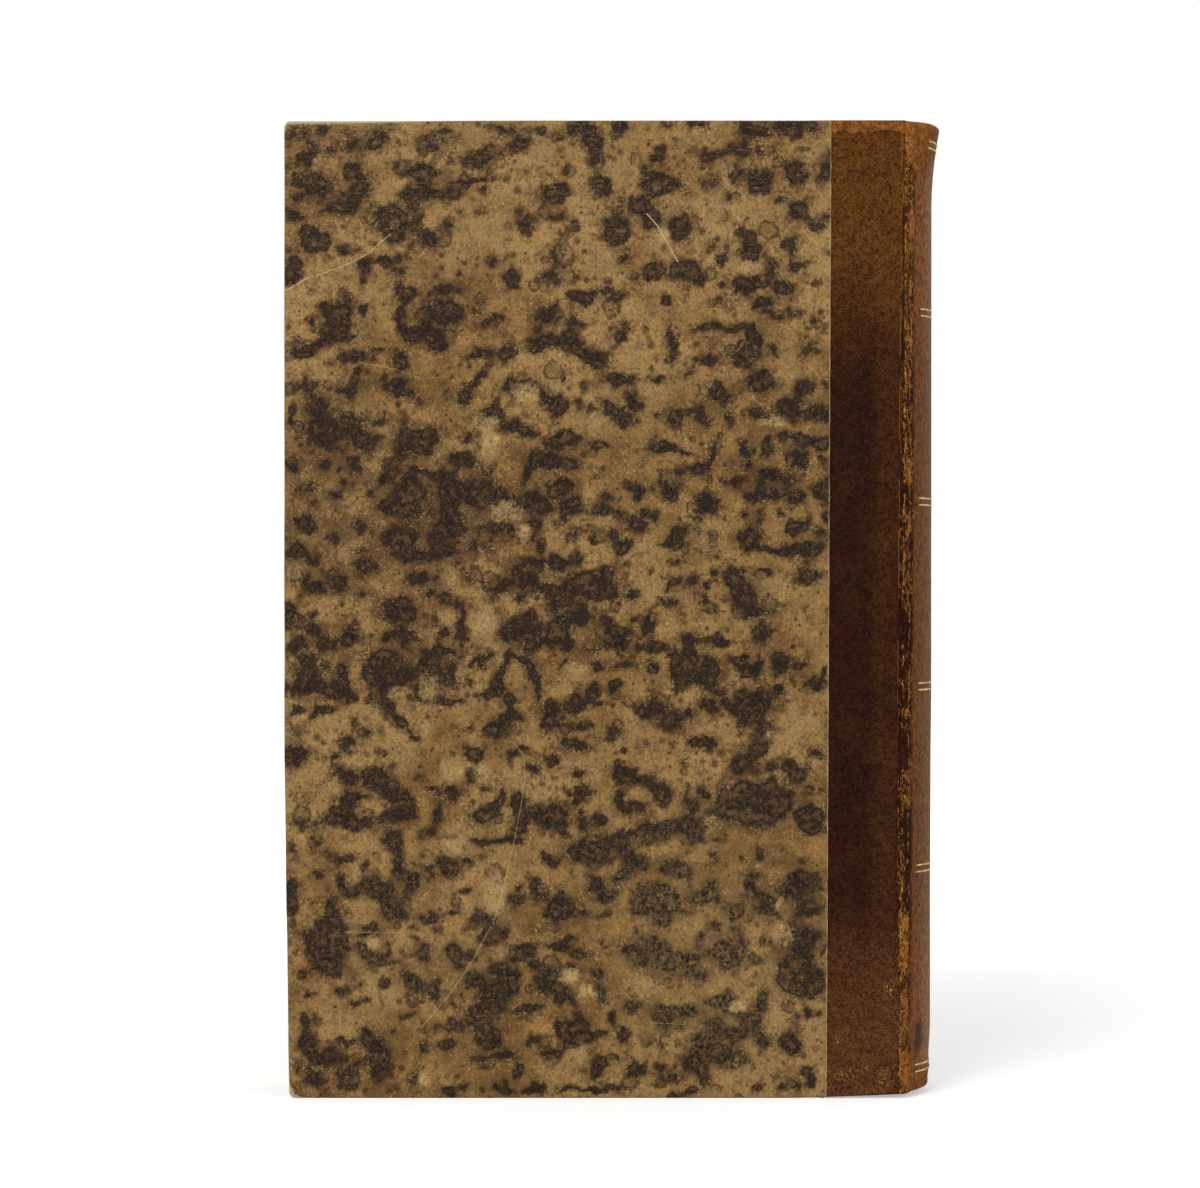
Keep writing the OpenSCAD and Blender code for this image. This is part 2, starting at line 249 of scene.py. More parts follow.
class Shader:
    """A material under construction, with places in millimetres."""

    def __init__(self, name):
        self.material = bpy.data.materials.new(name)
        self.material.use_nodes = True
        self.tree = self.material.node_tree
        self.tree.nodes.clear()
        place = self.node("ShaderNodeTexCoord", out="Object")
        self.place = self.vector("MULTIPLY", place, (1 / MM,) * 3)
        self.x, self.y, self.z = (
            self.node("ShaderNodeSeparateXYZ", None, {0: self.place}, out=axis) for axis in "XYZ"
        )

    def node(self, kind, settings=None, sockets=None, out=0):
        """Adds a node: its settings first, then the values or links of its sockets."""
        made = self.tree.nodes.new(kind)
        for key, value in (settings or {}).items():
            setattr(made, key, value)
        for key, value in (sockets or {}).items():
            if isinstance(value, Socket):
                self.tree.links.new(value.link, made.inputs[key])
            else:
                made.inputs[key].default_value = value
        return Socket(self, made.outputs[out])

    def vector(self, operation, *values):
        """A Vector Math node."""
        return self.node("ShaderNodeVectorMath", {"operation": operation}, dict(enumerate(values)))

    def colour(self, factor, *pair):
        """The first of two colours where factor is 0, the second where it is 1; texts are screen colours."""
        a, b = (tone(colour) if isinstance(colour, str) else colour for colour in pair)
        return self.node("ShaderNodeMix", {"data_type": "RGBA"}, {0: factor, 6: a, 7: b}, out=2)

    def noise(self, cell, detail=2.0, rough=0.5, stretch=(1, 1, 1)):
        """Noise with cells of the given size, drawn out by stretch along each axis."""
        scaled = self.vector("DIVIDE", self.place, tuple(cell * s for s in stretch))
        sockets = {"Vector": scaled, "Scale": 1.0, "Detail": detail, "Roughness": rough}
        return self.node("ShaderNodeTexNoise", None, sockets)

    def cells(self, cell, feature="F1", stretch=(1, 1, 1)):
        """Distance from the middles of scattered cells, or from their edges."""
        scaled = self.vector("DIVIDE", self.place, tuple(cell * s for s in stretch))
        return self.node("ShaderNodeTexVoronoi", {"feature": feature}, {"Vector": scaled, "Scale": 1.0})

    def layer(self, name):
        """A value stored at the mesh's points."""
        settings = {"attribute_type": "GEOMETRY", "attribute_name": name}
        return self.node("ShaderNodeAttribute", settings, out="Fac")

    def near_line(self, points):
        """Distance from a line through points in the plane of X and Z."""
        nearest = None
        for (x0, z0), (x1, z1) in zip(points, points[1:]):
            dx, dz = x1 - x0, z1 - z0
            px, pz = self.x - x0, self.z - z0
            along = ((px * dx + pz * dz) / (dx * dx + dz * dz)).clamp()
            ex, ez = px - along * dx, pz - along * dz
            distance = (ex * ex + ez * ez).math("SQRT")
            nearest = distance if nearest is None else nearest.math("MINIMUM", distance)
        return nearest

    def bump(self, height, distance, strength):
        """A normal from a height, whose full step is distance millimetres."""
        sockets = {"Height": height, "Distance": distance * MM, "Strength": strength}
        return self.node("ShaderNodeBump", None, sockets)

    def finish(self, **sockets):
        """Closes the material with a Principled shader; a keyword's underscores are the socket's spaces."""
        named = {key.replace("_", " "): value for key, value in sockets.items()}
        surface = self.node("ShaderNodeBsdfPrincipled", None, named)
        output = self.tree.nodes.new("ShaderNodeOutputMaterial")
        self.tree.links.new(surface.link, output.inputs["Surface"])
        return self.material


# The marbled paper's figure: soft dark blotches on tan. Each is its middle, in millimetres from the
# fore-edge and the tail, its width and height, its depth of colour, and, where it needs them, its
# turn in degrees and the word ring where only the rim is dark.
REAR_BLOTCHES = [
    # Head, from the fore-edge
    (3, 217, 5, 4, 0.6), (8, 214, 9, 4, 0.5), (15, 214.5, 3, 5, 0.6), (21, 217.5, 4, 4, 0.8),
    (20, 214, 5, 3, 0.8), (5, 211.5, 8, 2.2, 0.85, 25), (35, 216, 7, 4, 0.95), (33, 213.5, 4, 2, 0.7),
    (45, 213, 6, 4, 0.65), (42, 211, 8, 2.5, 0.7), (50, 217.5, 5, 4, 0.7), (52, 214, 4, 4, 0.8),
    (57, 218, 6, 3, 0.65), (47, 219, 3, 2, 0.7), (30, 209, 8, 2.5, 0.85, -10), (33, 208.5, 5, 2, 0.7),
    (31, 205, 4, 6, 0.8), (28, 202, 4, 3, 0.9), (33, 203, 8, 3, 0.65), (39.5, 205.5, 6, 3.5, 0.97, 20),
    (44, 207, 7, 1.6, 0.8), (38, 203, 4, 3, 0.8), (15, 209, 3.5, 2, 0.8), (17, 205.5, 4, 6, 0.85),
    (6, 206.5, 8, 4, 0.75, 0, "ring"), (4, 203, 6, 2, 0.75, 15), (9, 204.5, 2.5, 4, 0.7),
    (12, 200, 7, 2.5, 0.75), (14, 202, 7, 5, 0.55), (3, 198, 4, 2.5, 0.85),
    (24.5, 196.5, 7, 6.5, 0.9, 0, "ring"), (25, 194, 4, 2.4, 0.8), (7, 193, 6.5, 5, 0.8, 0, "ring"),
    (13.5, 191, 3.5, 3, 0.6), (33, 193, 5, 4, 0.75), (30, 196, 3, 5, 0.6), (1, 187, 4.5, 7, 0.88),
    (18.5, 186.5, 3.5, 4.5, 0.88), (23, 188.7, 7, 2, 0.85), (26, 186, 4, 5, 0.55),
    (27, 181.5, 6, 4, 0.75, 0, "ring"), (36, 182.5, 5, 3.5, 0.9), (51, 184.5, 4, 5, 0.8),
    (47, 188.5, 3.5, 3, 0.65), (53.5, 197.5, 4, 4, 0.75), (54, 195, 3, 2, 0.65), (60, 204, 5, 5, 0.93),
    (61, 198, 5, 2, 0.8), (43, 198.5, 5, 1.5, 0.55, 10), (9, 177.5, 4, 3, 0.9), (13, 177.5, 4.5, 4, 0.88),
    (12, 174, 7.5, 7, 0.8), (18, 177.5, 3, 2.5, 0.8), (10, 170.5, 10, 3, 0.92, 15),
    (4, 168, 6, 2.5, 0.85), (15, 166, 7, 3, 0.75), (26.5, 176, 2, 6, 0.85), (28, 172, 2.5, 4.5, 0.92, 35),
    (35, 176, 8.5, 8, 0.8), (33, 170.5, 6, 3, 0.85), (38, 177, 3, 4, 0.85), (47, 174.5, 6, 2.5, 0.65),
    (43, 177, 3, 3, 0.5), (60, 176.5, 6, 4, 0.78), (59, 170, 9, 2.2, 0.85), (57, 168.5, 6, 2, 0.85),
    (21, 168, 3, 1.6, 0.85), (26, 166.5, 4, 2.5, 0.85), (44, 167.5, 6, 3, 0.88), (50, 167.5, 4, 5, 0.93),
    # Head, to the leather
    (65, 218.5, 5, 3, 0.85), (69, 216, 3, 6, 0.93, 10), (71, 212.5, 3, 5, 0.93), (76, 218.5, 3.5, 4, 0.78),
    (93, 219, 5, 2.5, 0.8), (96, 212.5, 3.5, 2.5, 0.75), (84.5, 211.5, 4, 3, 0.85), (81, 209, 2.5, 3, 0.75),
    (71, 205.5, 5, 5, 0.88), (84.5, 205.5, 7, 5.5, 0.8, 0, "ring"), (88, 205, 2, 3, 0.85),
    (62, 203, 3, 4, 0.95), (80, 201, 4.5, 4, 0.93), (82, 197, 4, 5, 0.85, 40), (89, 196.5, 5, 5, 0.97),
    (74, 195.5, 6, 6, 0.85), (75.5, 194.5, 3, 4, 0.97), (77, 189, 4, 2.5, 0.65), (66, 196.5, 2, 2.5, 0.93),
    (63, 190, 5, 6, 0.78), (60, 185, 4, 5, 0.75), (94, 206, 5, 4, 0.55), (104, 217.5, 4, 5, 0.8),
    (108, 217, 4, 3, 0.75), (114, 218, 5.5, 5, 0.97), (119, 218.5, 3.5, 3.5, 0.85),
    (103, 212.5, 4, 4, 0.88), (107.5, 213.5, 2.5, 2.5, 0.85), (102, 208, 3, 3, 0.85),
    (107, 206.5, 5.5, 5.5, 0.96), (115, 208, 5, 5, 0.97), (117, 213, 4, 2.5, 0.55),
    (121.5, 208, 3.5, 4, 0.97), (123, 212, 2, 4, 0.78), (116, 199.5, 5, 5.5, 0.97), (112, 202, 3, 2, 0.65),
    (120, 196, 3.5, 3.5, 0.65), (105, 191, 5, 5, 0.9), (103, 194, 3, 3, 0.7), (114, 191.5, 4, 4, 0.78),
    (115, 187, 3, 3, 0.78), (110, 187, 4, 3, 0.6), (99, 188.5, 2.5, 4, 0.85),
    (83, 185.5, 5, 4, 0.92, 0, "ring"), (90, 186, 6, 4, 0.9), (93, 184, 3, 3, 0.88),
    (103, 183, 5.5, 4, 0.93), (107, 184, 6, 2, 0.93), (112, 182, 5, 3.5, 0.93), (108, 179, 5, 2.5, 0.88),
    (98, 183, 2, 1.5, 0.75), (110, 176, 6, 3, 0.7), (86, 180, 3, 2.5, 0.93), (78, 185, 3, 2, 0.6),
    (68, 180.5, 5, 3, 0.88), (74, 181, 6, 3, 0.65), (97.5, 179.5, 3.5, 2.2, 0.82),
    (75.5, 172.5, 3.5, 3.5, 0.85), (65, 175, 2.5, 5, 0.65), (67, 174, 2, 2, 0.75),
    (87, 169, 2.4, 7, 0.93), (66, 168.5, 9, 3.5, 0.93, -15), (70, 166, 5, 5, 0.93),
    (96, 173.5, 7, 1.8, 0.93, 10), (103, 173.5, 6, 2, 0.92), (106, 170.5, 3.5, 5, 0.9),
    (95, 167, 6, 1.8, 0.93, -10), (104, 166.5, 5.5, 3, 0.93), (101, 170, 12, 7, 0.35),
    (110, 168, 3, 3, 0.68), (118, 168, 5, 4, 0.68), (120, 174, 3, 4, 0.6), (116, 177.5, 3, 2, 0.75),
    # Above the middle, from the fore-edge
    (5, 160, 6, 3, 0.75), (14, 159.5, 6, 4, 0.72), (7, 156, 6, 4, 0.65), (25, 161, 6, 4, 0.9),
    (28, 158.5, 4, 2.5, 0.9), (21, 152.5, 4, 2, 0.82), (41, 157.5, 4, 3.5, 0.88), (36, 158.5, 2, 2, 0.55),
    (44, 162, 2.2, 7, 0.85, -35), (54, 159.5, 7, 4, 0.93), (58, 158, 6, 2, 0.88, -20),
    (61, 155.5, 3, 4, 0.85), (47, 153.5, 5, 3, 0.92), (51, 151, 8, 2.2, 0.85), (43, 152, 4, 2.5, 0.75),
    (9, 150, 6.5, 9, 0.97), (2, 154, 2.2, 6, 0.8), (15, 151, 6, 7, 0.68), (18, 147, 5, 5, 0.75),
    (16, 142, 3, 5, 0.75), (28, 148.5, 6, 4.5, 0.9), (32, 148, 5.5, 4.5, 0.9, 0, "ring"),
    (27, 145, 4, 3, 0.75), (41, 149, 4, 1.6, 0.75), (54, 149.3, 9, 1.6, 0.9, -8), (61, 147.5, 4, 3, 0.85),
    (59, 143.5, 8, 4, 0.9), (55, 140, 2.5, 5, 0.93, -20), (2, 142, 3, 3, 0.93), (9, 142.5, 4, 3, 0.65),
    (13, 141, 2, 1.6, 0.75), (40, 143.5, 5, 4, 0.9), (24, 141.5, 3.5, 2, 0.85), (30, 142, 5, 2.4, 0.7),
    (34, 141, 5, 2.4, 0.75), (22, 138.5, 4, 2.5, 0.9), (23, 133.5, 4, 3, 0.85), (20, 136, 2, 2, 0.85),
    (28, 135.5, 7, 9.5, 0.99), (37, 137, 7, 8, 0.95), (44, 136, 7, 6, 0.94), (50, 133.5, 7, 4.5, 0.9),
    (57, 134, 7, 5, 0.9), (61, 137, 3, 2, 0.85), (13.5, 138, 2.5, 2.5, 0.68), (11.5, 135, 3, 2, 0.8),
    (7, 134, 3, 2, 0.55), (4.5, 129, 5.5, 4.5, 0.9), (17, 129, 5, 3, 0.78), (11, 126, 4, 3, 0.6),
    (17, 123.5, 2.5, 2, 0.68), (26, 126, 8.5, 6, 0.99), (29, 122, 7, 3, 0.94), (36, 127, 6.5, 7, 0.97),
    (35, 122.5, 7, 3, 0.9), (38, 131, 5, 5, 0.94), (43, 124, 4, 4, 0.65), (48, 129, 6, 4, 0.75),
    (54, 127, 6, 4, 0.85), (57, 129, 4, 3, 0.75), (2, 123, 4.5, 4, 0.78), (6, 121, 5, 3, 0.8),
    (58, 124, 1.6, 3, 0.75), (56, 120.5, 6, 2, 0.85), (52, 119, 3, 3, 0.85), (61, 120, 3, 2, 0.82),
    (18.5, 119.5, 5.5, 3, 0.93), (12, 116.5, 4.5, 4.5, 0.93), (17.5, 113.5, 2.6, 2.2, 0.85),
    (30, 117, 4, 4, 0.75), (34, 117, 3, 3, 0.65), (33, 113.5, 3, 3, 0.85), (36.5, 113, 3, 3.5, 0.93),
    (26, 111.5, 7.5, 3, 0.93), (1, 111, 3, 2, 0.85), (40, 111, 3, 2.4, 0.85), (50, 115, 4, 4, 0.75),
    (55, 116, 6, 5, 0.75), (60, 115, 5, 3, 0.85), (53, 112, 3, 2, 0.75),
    # Above the middle, to the leather
    (75, 161.5, 6, 3.4, 0.9), (78.5, 157, 5, 3, 0.93, -30), (84, 161.5, 4, 2, 0.8),
    (84, 154.3, 1.8, 1.6, 0.75), (75, 154.7, 6, 3, 0.88, -20), (77, 153, 3, 3, 0.88),
    (88, 153, 4.5, 5, 0.9), (91.5, 154, 2, 3, 0.75), (98.5, 158.5, 5, 5, 0.96),
    (107, 161, 6.5, 5, 0.94, 0, "ring"), (107, 154, 4, 3, 0.93), (114, 155.5, 5.5, 4, 0.94),
    (110, 153, 6, 2, 0.88), (118, 154, 4, 2.2, 0.85), (121.5, 153.5, 5, 3, 0.9), (117, 159.5, 4, 4, 0.85),
    (122, 160.5, 2, 2, 0.68), (95, 152.5, 3.2, 2.2, 0.68, 0, "ring"), (62, 156, 2.5, 4, 0.93),
    (66, 157, 3, 4, 0.65), (64, 148.5, 6, 3, 0.93), (64, 142.5, 5, 3.4, 0.94), (63, 137.5, 5, 3, 0.92),
    (71, 146.5, 5, 2.4, 0.65, 0, "ring"), (85, 146.5, 6, 2, 0.94, 5), (89, 145.5, 5, 1.1, 0.85, -10),
    (96, 145, 6, 2, 0.85, 60), (94, 141.5, 4.5, 3.4, 0.93), (90, 141.5, 5, 2, 0.68),
    (84.5, 141, 2, 3.4, 0.93), (86, 137.5, 4.5, 4, 0.85), (88, 136, 3.5, 3.5, 0.94),
    (96, 134, 4.5, 5.5, 0.99, 35), (101.5, 138.5, 4, 3, 0.94), (104, 146, 3.4, 2.2, 0.9),
    (108, 146.5, 1.4, 6, 0.85, -15), (104, 142.5, 2.5, 4, 0.85), (110, 137.5, 8, 6, 0.97),
    (109, 141, 5, 2, 0.88), (105, 134.5, 4, 3, 0.8), (107, 131, 2, 2, 0.68), (103.5, 131, 2.6, 2, 0.75),
    (115.5, 135.5, 3.5, 3.5, 0.85), (122, 136.5, 4, 6, 0.99), (122, 131, 3, 3, 0.85),
    (115, 148.5, 9, 2.5, 0.88), (121, 147.5, 6, 2.5, 0.97), (116, 144, 4.5, 5, 0.88),
    (121.5, 143.5, 2.6, 2.6, 0.75), (79, 137, 4, 4, 0.85), (82, 132, 3.4, 2.6, 0.85), (73, 135, 3, 4, 0.65),
    (71, 132, 4, 2.5, 0.65), (75, 131.5, 6, 2, 0.65), (74, 127, 3, 3, 0.8), (76, 124, 4.5, 4, 0.93),
    (79, 129, 4, 3, 0.88), (88, 126.5, 5.5, 3, 0.8, 20), (85.5, 125, 3, 1.6, 0.65),
    (87.5, 121.3, 2.6, 1.9, 0.85), (66, 122, 3, 3, 0.75), (62, 121, 4, 3, 0.88), (65, 127, 4, 3, 0.75),
    (63, 131, 3, 3, 0.85), (66, 133.5, 3, 5, 0.85), (105, 126, 4.5, 5.5, 0.98, 35),
    (110, 123.3, 7, 1.8, 0.93, -12), (117, 123.3, 8, 3, 0.93), (115, 128.5, 5, 3.4, 0.85, 0, "ring"),
    (120, 127, 5, 3, 0.65), (118, 117.5, 6.5, 3.5, 0.93), (108, 118.5, 5, 2, 0.75),
    (68, 115.5, 13, 6.5, 0.98), (71.5, 113, 4.5, 4, 0.96), (72.5, 118, 3, 2.5, 0.88),
    (78, 114, 3, 3, 0.88), (87.5, 116.3, 4, 3, 0.93), (92, 116, 3.5, 3.5, 0.85), (97, 118.5, 3, 2, 0.65),
    (101, 117, 4, 5, 0.93), (104, 113, 6, 6, 0.98), (95, 115, 1, 1, 0.9), (87, 111.5, 4, 2.5, 0.75),
    (94, 112, 3, 2, 0.65), (62, 112.5, 6, 3, 0.85, 0, "ring"),
    # Below the middle, from the fore-edge
    (1, 108, 3, 5, 0.88), (6, 105.5, 5, 3, 0.9, -25), (9.5, 103, 4, 4, 0.85), (6, 108.5, 2.5, 2, 0.75),
    (3, 102, 5, 4, 0.68), (14, 104, 4, 5, 0.9), (26.5, 109, 7, 4, 0.99), (26.5, 104, 7, 4.5, 0.8),
    (36, 105, 2.4, 2.4, 0.9), (39.5, 106, 2.2, 8, 0.9), (35, 100.5, 9, 2, 0.9), (6, 97, 9, 8, 0.68),
    (4, 93.5, 4, 4.5, 0.9), (9, 91.5, 8, 3, 0.95), (13, 94, 3, 7, 0.94), (2, 91, 3, 2, 0.85),
    (22, 98.5, 6, 3, 0.94), (19, 95.5, 3, 4.5, 0.93), (27.5, 95.5, 4, 4, 0.9), (23, 93, 8, 4, 0.78),
    (24, 97, 8, 6, 0.6), (31, 98, 2.4, 7, 0.85), (34, 96, 8, 7, 0.7), (30.5, 91, 3, 4, 0.85),
    (38, 95, 3, 5, 0.75), (23, 88.5, 3.4, 4, 0.8), (26, 84.5, 3.4, 4.5, 0.9, 40), (29, 81.5, 3, 2.5, 0.75),
    (35, 89, 4, 3, 0.75), (39, 89, 4, 1.6, 0.85), (46, 98.5, 3, 3, 0.8), (48.5, 94.5, 2.6, 10, 0.78, -32),
    (44.5, 90.5, 3, 1.6, 0.85), (48, 91.5, 3, 2, 0.85), (42, 93, 3, 2, 0.65), (53, 107, 7, 4.5, 0.8),
    (56, 103, 7, 4.5, 0.9), (61, 105, 4, 6, 0.94), (50, 104, 5, 4, 0.75), (50.5, 99, 2.4, 3.4, 0.85),
    (53.5, 98.5, 2.4, 2, 0.75), (56.3, 95, 2.5, 10, 0.94, 10), (51.5, 89.5, 3, 3, 0.85),
    (52, 87, 3, 2, 0.85), (48, 82, 5, 4.5, 0.97), (49.5, 85, 4, 3, 0.88), (42, 83, 4, 2, 0.65),
    (43, 77.5, 5.5, 2.5, 0.97), (52, 77, 4, 2.5, 0.88), (54, 78.5, 3, 2, 0.8), (8, 87.5, 4, 2.5, 0.85),
    (3, 87.5, 3, 2, 0.8), (11, 88, 3, 1.6, 0.65), (16, 84.5, 3, 2.5, 0.65), (19, 82.5, 1.8, 1.8, 0.85),
    (14, 80, 4, 4, 0.65), (2.5, 77.5, 6.5, 5.5, 0.94), (11.5, 76.5, 2.2, 2.2, 0.93),
    (22.5, 77.5, 2.2, 2, 0.65), (3, 83, 4, 3, 0.6), (58, 83, 2.2, 3, 0.75), (59.5, 86.5, 4, 5, 0.88),
    (60, 76.5, 3, 3.5, 0.8), (56, 74, 3.4, 3.5, 0.8), (14, 72, 6, 4, 0.9), (19.5, 73, 6, 3, 0.85, 15),
    (21, 71, 6, 4, 0.85), (26.5, 66, 4, 5.5, 0.93), (27.5, 63.5, 2.4, 3, 0.88), (24, 68, 4, 3, 0.8),
    (13, 65, 8, 4, 0.85, 30), (17, 62, 8, 2.5, 0.94, -10), (11, 63, 4, 3, 0.85), (23, 63.5, 6, 3, 0.85),
    (16, 68, 3, 2, 0.85), (24.5, 58, 4.5, 5, 0.99), (34, 69, 3, 2, 0.88), (38.5, 69, 4, 3, 0.94),
    (35, 65, 3, 4, 0.8), (37, 59, 3, 2, 0.75), (42, 72.5, 4, 3, 0.75), (46, 70, 3, 3, 0.8),
    (45, 63.5, 6, 3.5, 0.9), (48.3, 66, 2.4, 6.5, 0.88, -20), (53, 66.5, 3.5, 3, 0.88),
    (61, 63.5, 5, 6, 0.98), (56, 63.5, 6, 3, 0.88), (53, 61.5, 4, 2, 0.88), (52.5, 58.5, 3, 3, 0.85),
    (7, 58, 4, 4, 0.68), (4, 62, 5, 3, 0.55), (9, 55, 3, 2, 0.6), (45, 58, 8, 2, 0.85, 5),
    (50, 59, 4, 1.6, 0.85, 20), (32, 60, 4, 4, 0.65),
    # Below the middle, to the leather
    (66, 108.5, 6.5, 4, 0.9), (62.5, 106, 4, 5, 0.9), (64, 102, 4, 3, 0.85), (75, 105, 8, 3, 0.9),
    (72, 108, 3, 3, 0.78), (82.5, 107, 3, 5, 0.93), (79, 108, 3, 2, 0.75), (74, 102, 7, 2.5, 0.85),
    (83.5, 101.5, 4, 3, 0.95), (82.5, 97.5, 2.6, 2.6, 0.88), (96, 103, 10, 2.2, 0.95),
    (88, 97, 3, 7, 0.94), (96, 97, 5, 7, 0.85), (93, 94, 8, 4, 0.85), (98, 91, 3, 2, 0.85),
    (91.5, 99.5, 3, 6, 0.85), (104, 96.5, 7, 3, 0.95, -30), (106.5, 98, 2, 3, 0.85), (102, 99, 3, 2, 0.65),
    (107.5, 105, 4, 5, 0.94), (106, 109.5, 5, 1.8, 0.93), (112, 97.5, 5.5, 4.5, 0.9), (117, 98, 4, 3, 0.65),
    (118.5, 93.5, 4, 4, 0.75), (121.5, 95.5, 1.6, 3, 0.85), (111, 91.5, 3.5, 3, 0.93),
    (111.5, 88, 2, 2, 0.65), (70, 97.5, 3, 1.6, 0.85), (76, 97.5, 6, 1.6, 0.78), (63, 98, 5, 2, 0.85),
    (69, 91.5, 4, 4.5, 0.94), (74.5, 92.5, 3.6, 3.6, 0.88), (63.5, 88, 3.2, 3.2, 0.85),
    (71.5, 88.5, 3, 1.6, 0.75), (68.2, 84, 3.2, 3.2, 0.9), (74, 82, 4, 3, 0.7), (64.5, 79.5, 5, 3, 0.9),
    (68, 78.5, 2.5, 2, 0.75), (62, 84, 2.2, 3, 0.65), (82, 87.5, 5, 3.6, 0.97), (87, 85, 6.5, 5, 0.9),
    (96, 87.8, 4, 4, 0.94), (91.5, 87, 2, 2, 0.65), (104, 87.5, 8, 6.5, 0.9), (107, 89, 3, 3, 0.9),
    (103, 91.5, 3, 2.5, 0.85), (95, 80, 5, 2.5, 0.97), (91.5, 79, 2, 2.5, 0.88), (91, 75, 2, 2, 0.65),
    (106.5, 79, 4.5, 2.5, 0.9), (104, 76, 5.5, 4, 0.94, 25), (108, 83, 5, 5, 0.68), (110, 74.5, 3, 3, 0.85),
    (115.2, 74, 5.6, 4, 0.99), (119.5, 78, 3, 2, 0.75), (119, 70, 4, 2, 0.65), (66.5, 73.5, 4, 3, 0.75),
    (66, 67, 4, 2.5, 0.8), (64, 69.5, 2, 1.6, 0.75), (67, 63.5, 1.6, 1.6, 0.75), (71.5, 63, 2.2, 4, 0.6),
    (78, 72.5, 8, 2.6, 0.94, -10), (84, 70, 5, 2, 0.93, -30), (85.5, 67.5, 2.5, 4, 0.9),
    (76, 68, 3, 5.5, 0.93), (79, 65.5, 4.5, 3, 0.94), (75, 74.5, 2, 2, 0.75), (94.5, 69, 3, 1.6, 0.88),
    (92, 65.5, 4, 3, 0.8), (93, 60, 4, 4, 0.8), (105.5, 66.5, 15.5, 9, 0.98, 0, "ring"),
    (106, 64.5, 8, 4, 0.6), (118.5, 62.5, 6, 6, 0.94, 0, "ring"), (62, 62, 3, 5, 0.98),
    (69, 56, 7, 4, 0.97), (74, 58.5, 8, 2.5, 0.97, 25), (79, 60.5, 6, 2, 0.93, 10),
    (86, 61, 9, 3, 0.88, 5), (91, 62, 5, 3, 0.85), (83, 58.5, 8, 2, 0.65), (96, 55, 1.7, 1.7, 0.93),
    # Tail, from the fore-edge
    (26, 51.5, 4, 5.5, 0.93), (29, 49.5, 3, 4, 0.88), (32.5, 51, 2.6, 3, 0.85), (37, 52, 4, 5, 0.88),
    (40.5, 53.5, 2.2, 2.6, 0.88), (13, 53.5, 5, 2, 0.85), (8, 51, 3, 2, 0.75), (18, 52, 1.9, 1.9, 0.88),
    (2, 47, 3.4, 6, 0.88), (1.5, 43, 3, 3, 0.85), (13, 48, 2.2, 5, 0.93, 10), (14.5, 45.5, 3, 2, 0.8),
    (17, 47.5, 4, 3, 0.9), (22, 46.5, 7.5, 5, 0.9, -25), (25, 42.5, 6, 4.4, 0.9), (28, 46, 2.2, 4, 0.75),
    (11, 42.5, 3, 4, 0.85), (19, 38.5, 4, 2.5, 0.88), (10, 35, 8.5, 11, 0.85, 0, "ring"),
    (10.5, 33.5, 4.5, 2.5, 0.94, 15), (12.5, 37, 2.5, 4, 0.88, -20), (10, 29, 7, 3, 0.88),
    (18, 33.5, 4, 4, 0.95), (19, 37.3, 5, 1.8, 0.93), (21, 31, 5.5, 3, 0.95), (23, 34, 2, 3, 0.75),
    (33, 41, 5, 3, 0.93), (29, 39, 2, 2, 0.65), (38, 42, 3, 2, 0.65), (45, 40, 5, 3, 0.85),
    (31.5, 32.5, 3.6, 3.6, 0.85), (28, 32, 3, 1.6, 0.55), (25, 31, 2, 1.6, 0.55), (3.5, 28, 3, 2.6, 0.85),
    (6, 24, 2.6, 2, 0.8), (17, 26, 2.2, 2.2, 0.75), (12, 24, 1.6, 1.6, 0.75), (23, 25.7, 3, 2.5, 0.93),
    (19, 22.5, 1.6, 1.6, 0.75), (16, 21, 2, 1.6, 0.75), (29, 25.5, 4.5, 5.5, 0.97), (33.5, 25, 3, 4, 0.9),
    (27, 28, 2.4, 3, 0.75), (38.5, 32.5, 4, 4, 0.88), (42.5, 32, 3, 3, 0.8), (39, 29.5, 2, 2, 0.85),
    (46, 36, 4, 4, 0.88), (50, 36.5, 3, 3, 0.85), (43, 27, 5, 3, 0.9), (47, 24, 7.5, 5, 0.85),
    (45, 20.5, 8, 2.5, 0.94), (51, 26, 4, 4, 0.93), (50, 28.5, 6, 3, 0.93), (54, 32.5, 7, 3, 0.95, 20),
    (61, 34.5, 4, 3, 0.9), (54, 20.5, 7, 2, 0.93), (59, 26, 5, 4, 0.99), (61.5, 24, 4, 5.5, 0.97),
    (28, 19, 3.6, 2.5, 0.93), (38, 17, 8, 2.5, 0.94, 10), (37.5, 12.5, 4, 3, 0.93), (42, 18, 3, 2, 0.88),
    (31, 12, 2.5, 3, 0.93), (45.5, 15, 5, 6, 0.93, 0, "ring"), (48, 14, 3, 3, 0.85),
    (56.5, 12.5, 3, 2.6, 0.85), (53, 6.5, 2.6, 2.6, 0.85), (60.5, 11, 4, 3, 0.95), (61.5, 16, 2.4, 4, 0.85),
    (5.5, 18, 3, 4, 0.8), (5, 14, 4, 4, 0.85), (6, 11, 5, 4, 0.9), (14, 12.5, 3, 2, 0.85),
    (18.5, 14, 4, 4, 0.97), (21, 11.5, 4.5, 3, 0.93), (12, 9.5, 6, 2, 0.85), (14, 6.5, 4.6, 3, 0.9),
    (21.5, 7.5, 4.6, 6.5, 0.95), (7, 4, 4.6, 3.4, 0.97, -30), (14, 3.5, 3, 2, 0.75), (8, 8, 5, 3, 0.75),
    (2, 1, 3, 2, 0.75), (19, 8.5, 4, 3, 0.65), (45, 9.5, 6, 2, 0.88), (50, 9.5, 4.5, 2.5, 0.85),
    (29, 5, 3, 1.6, 0.85, -20), (37.5, 2, 4, 2, 0.88), (41, 2.5, 2, 2, 0.85), (50, 1.5, 5, 1.6, 0.85),
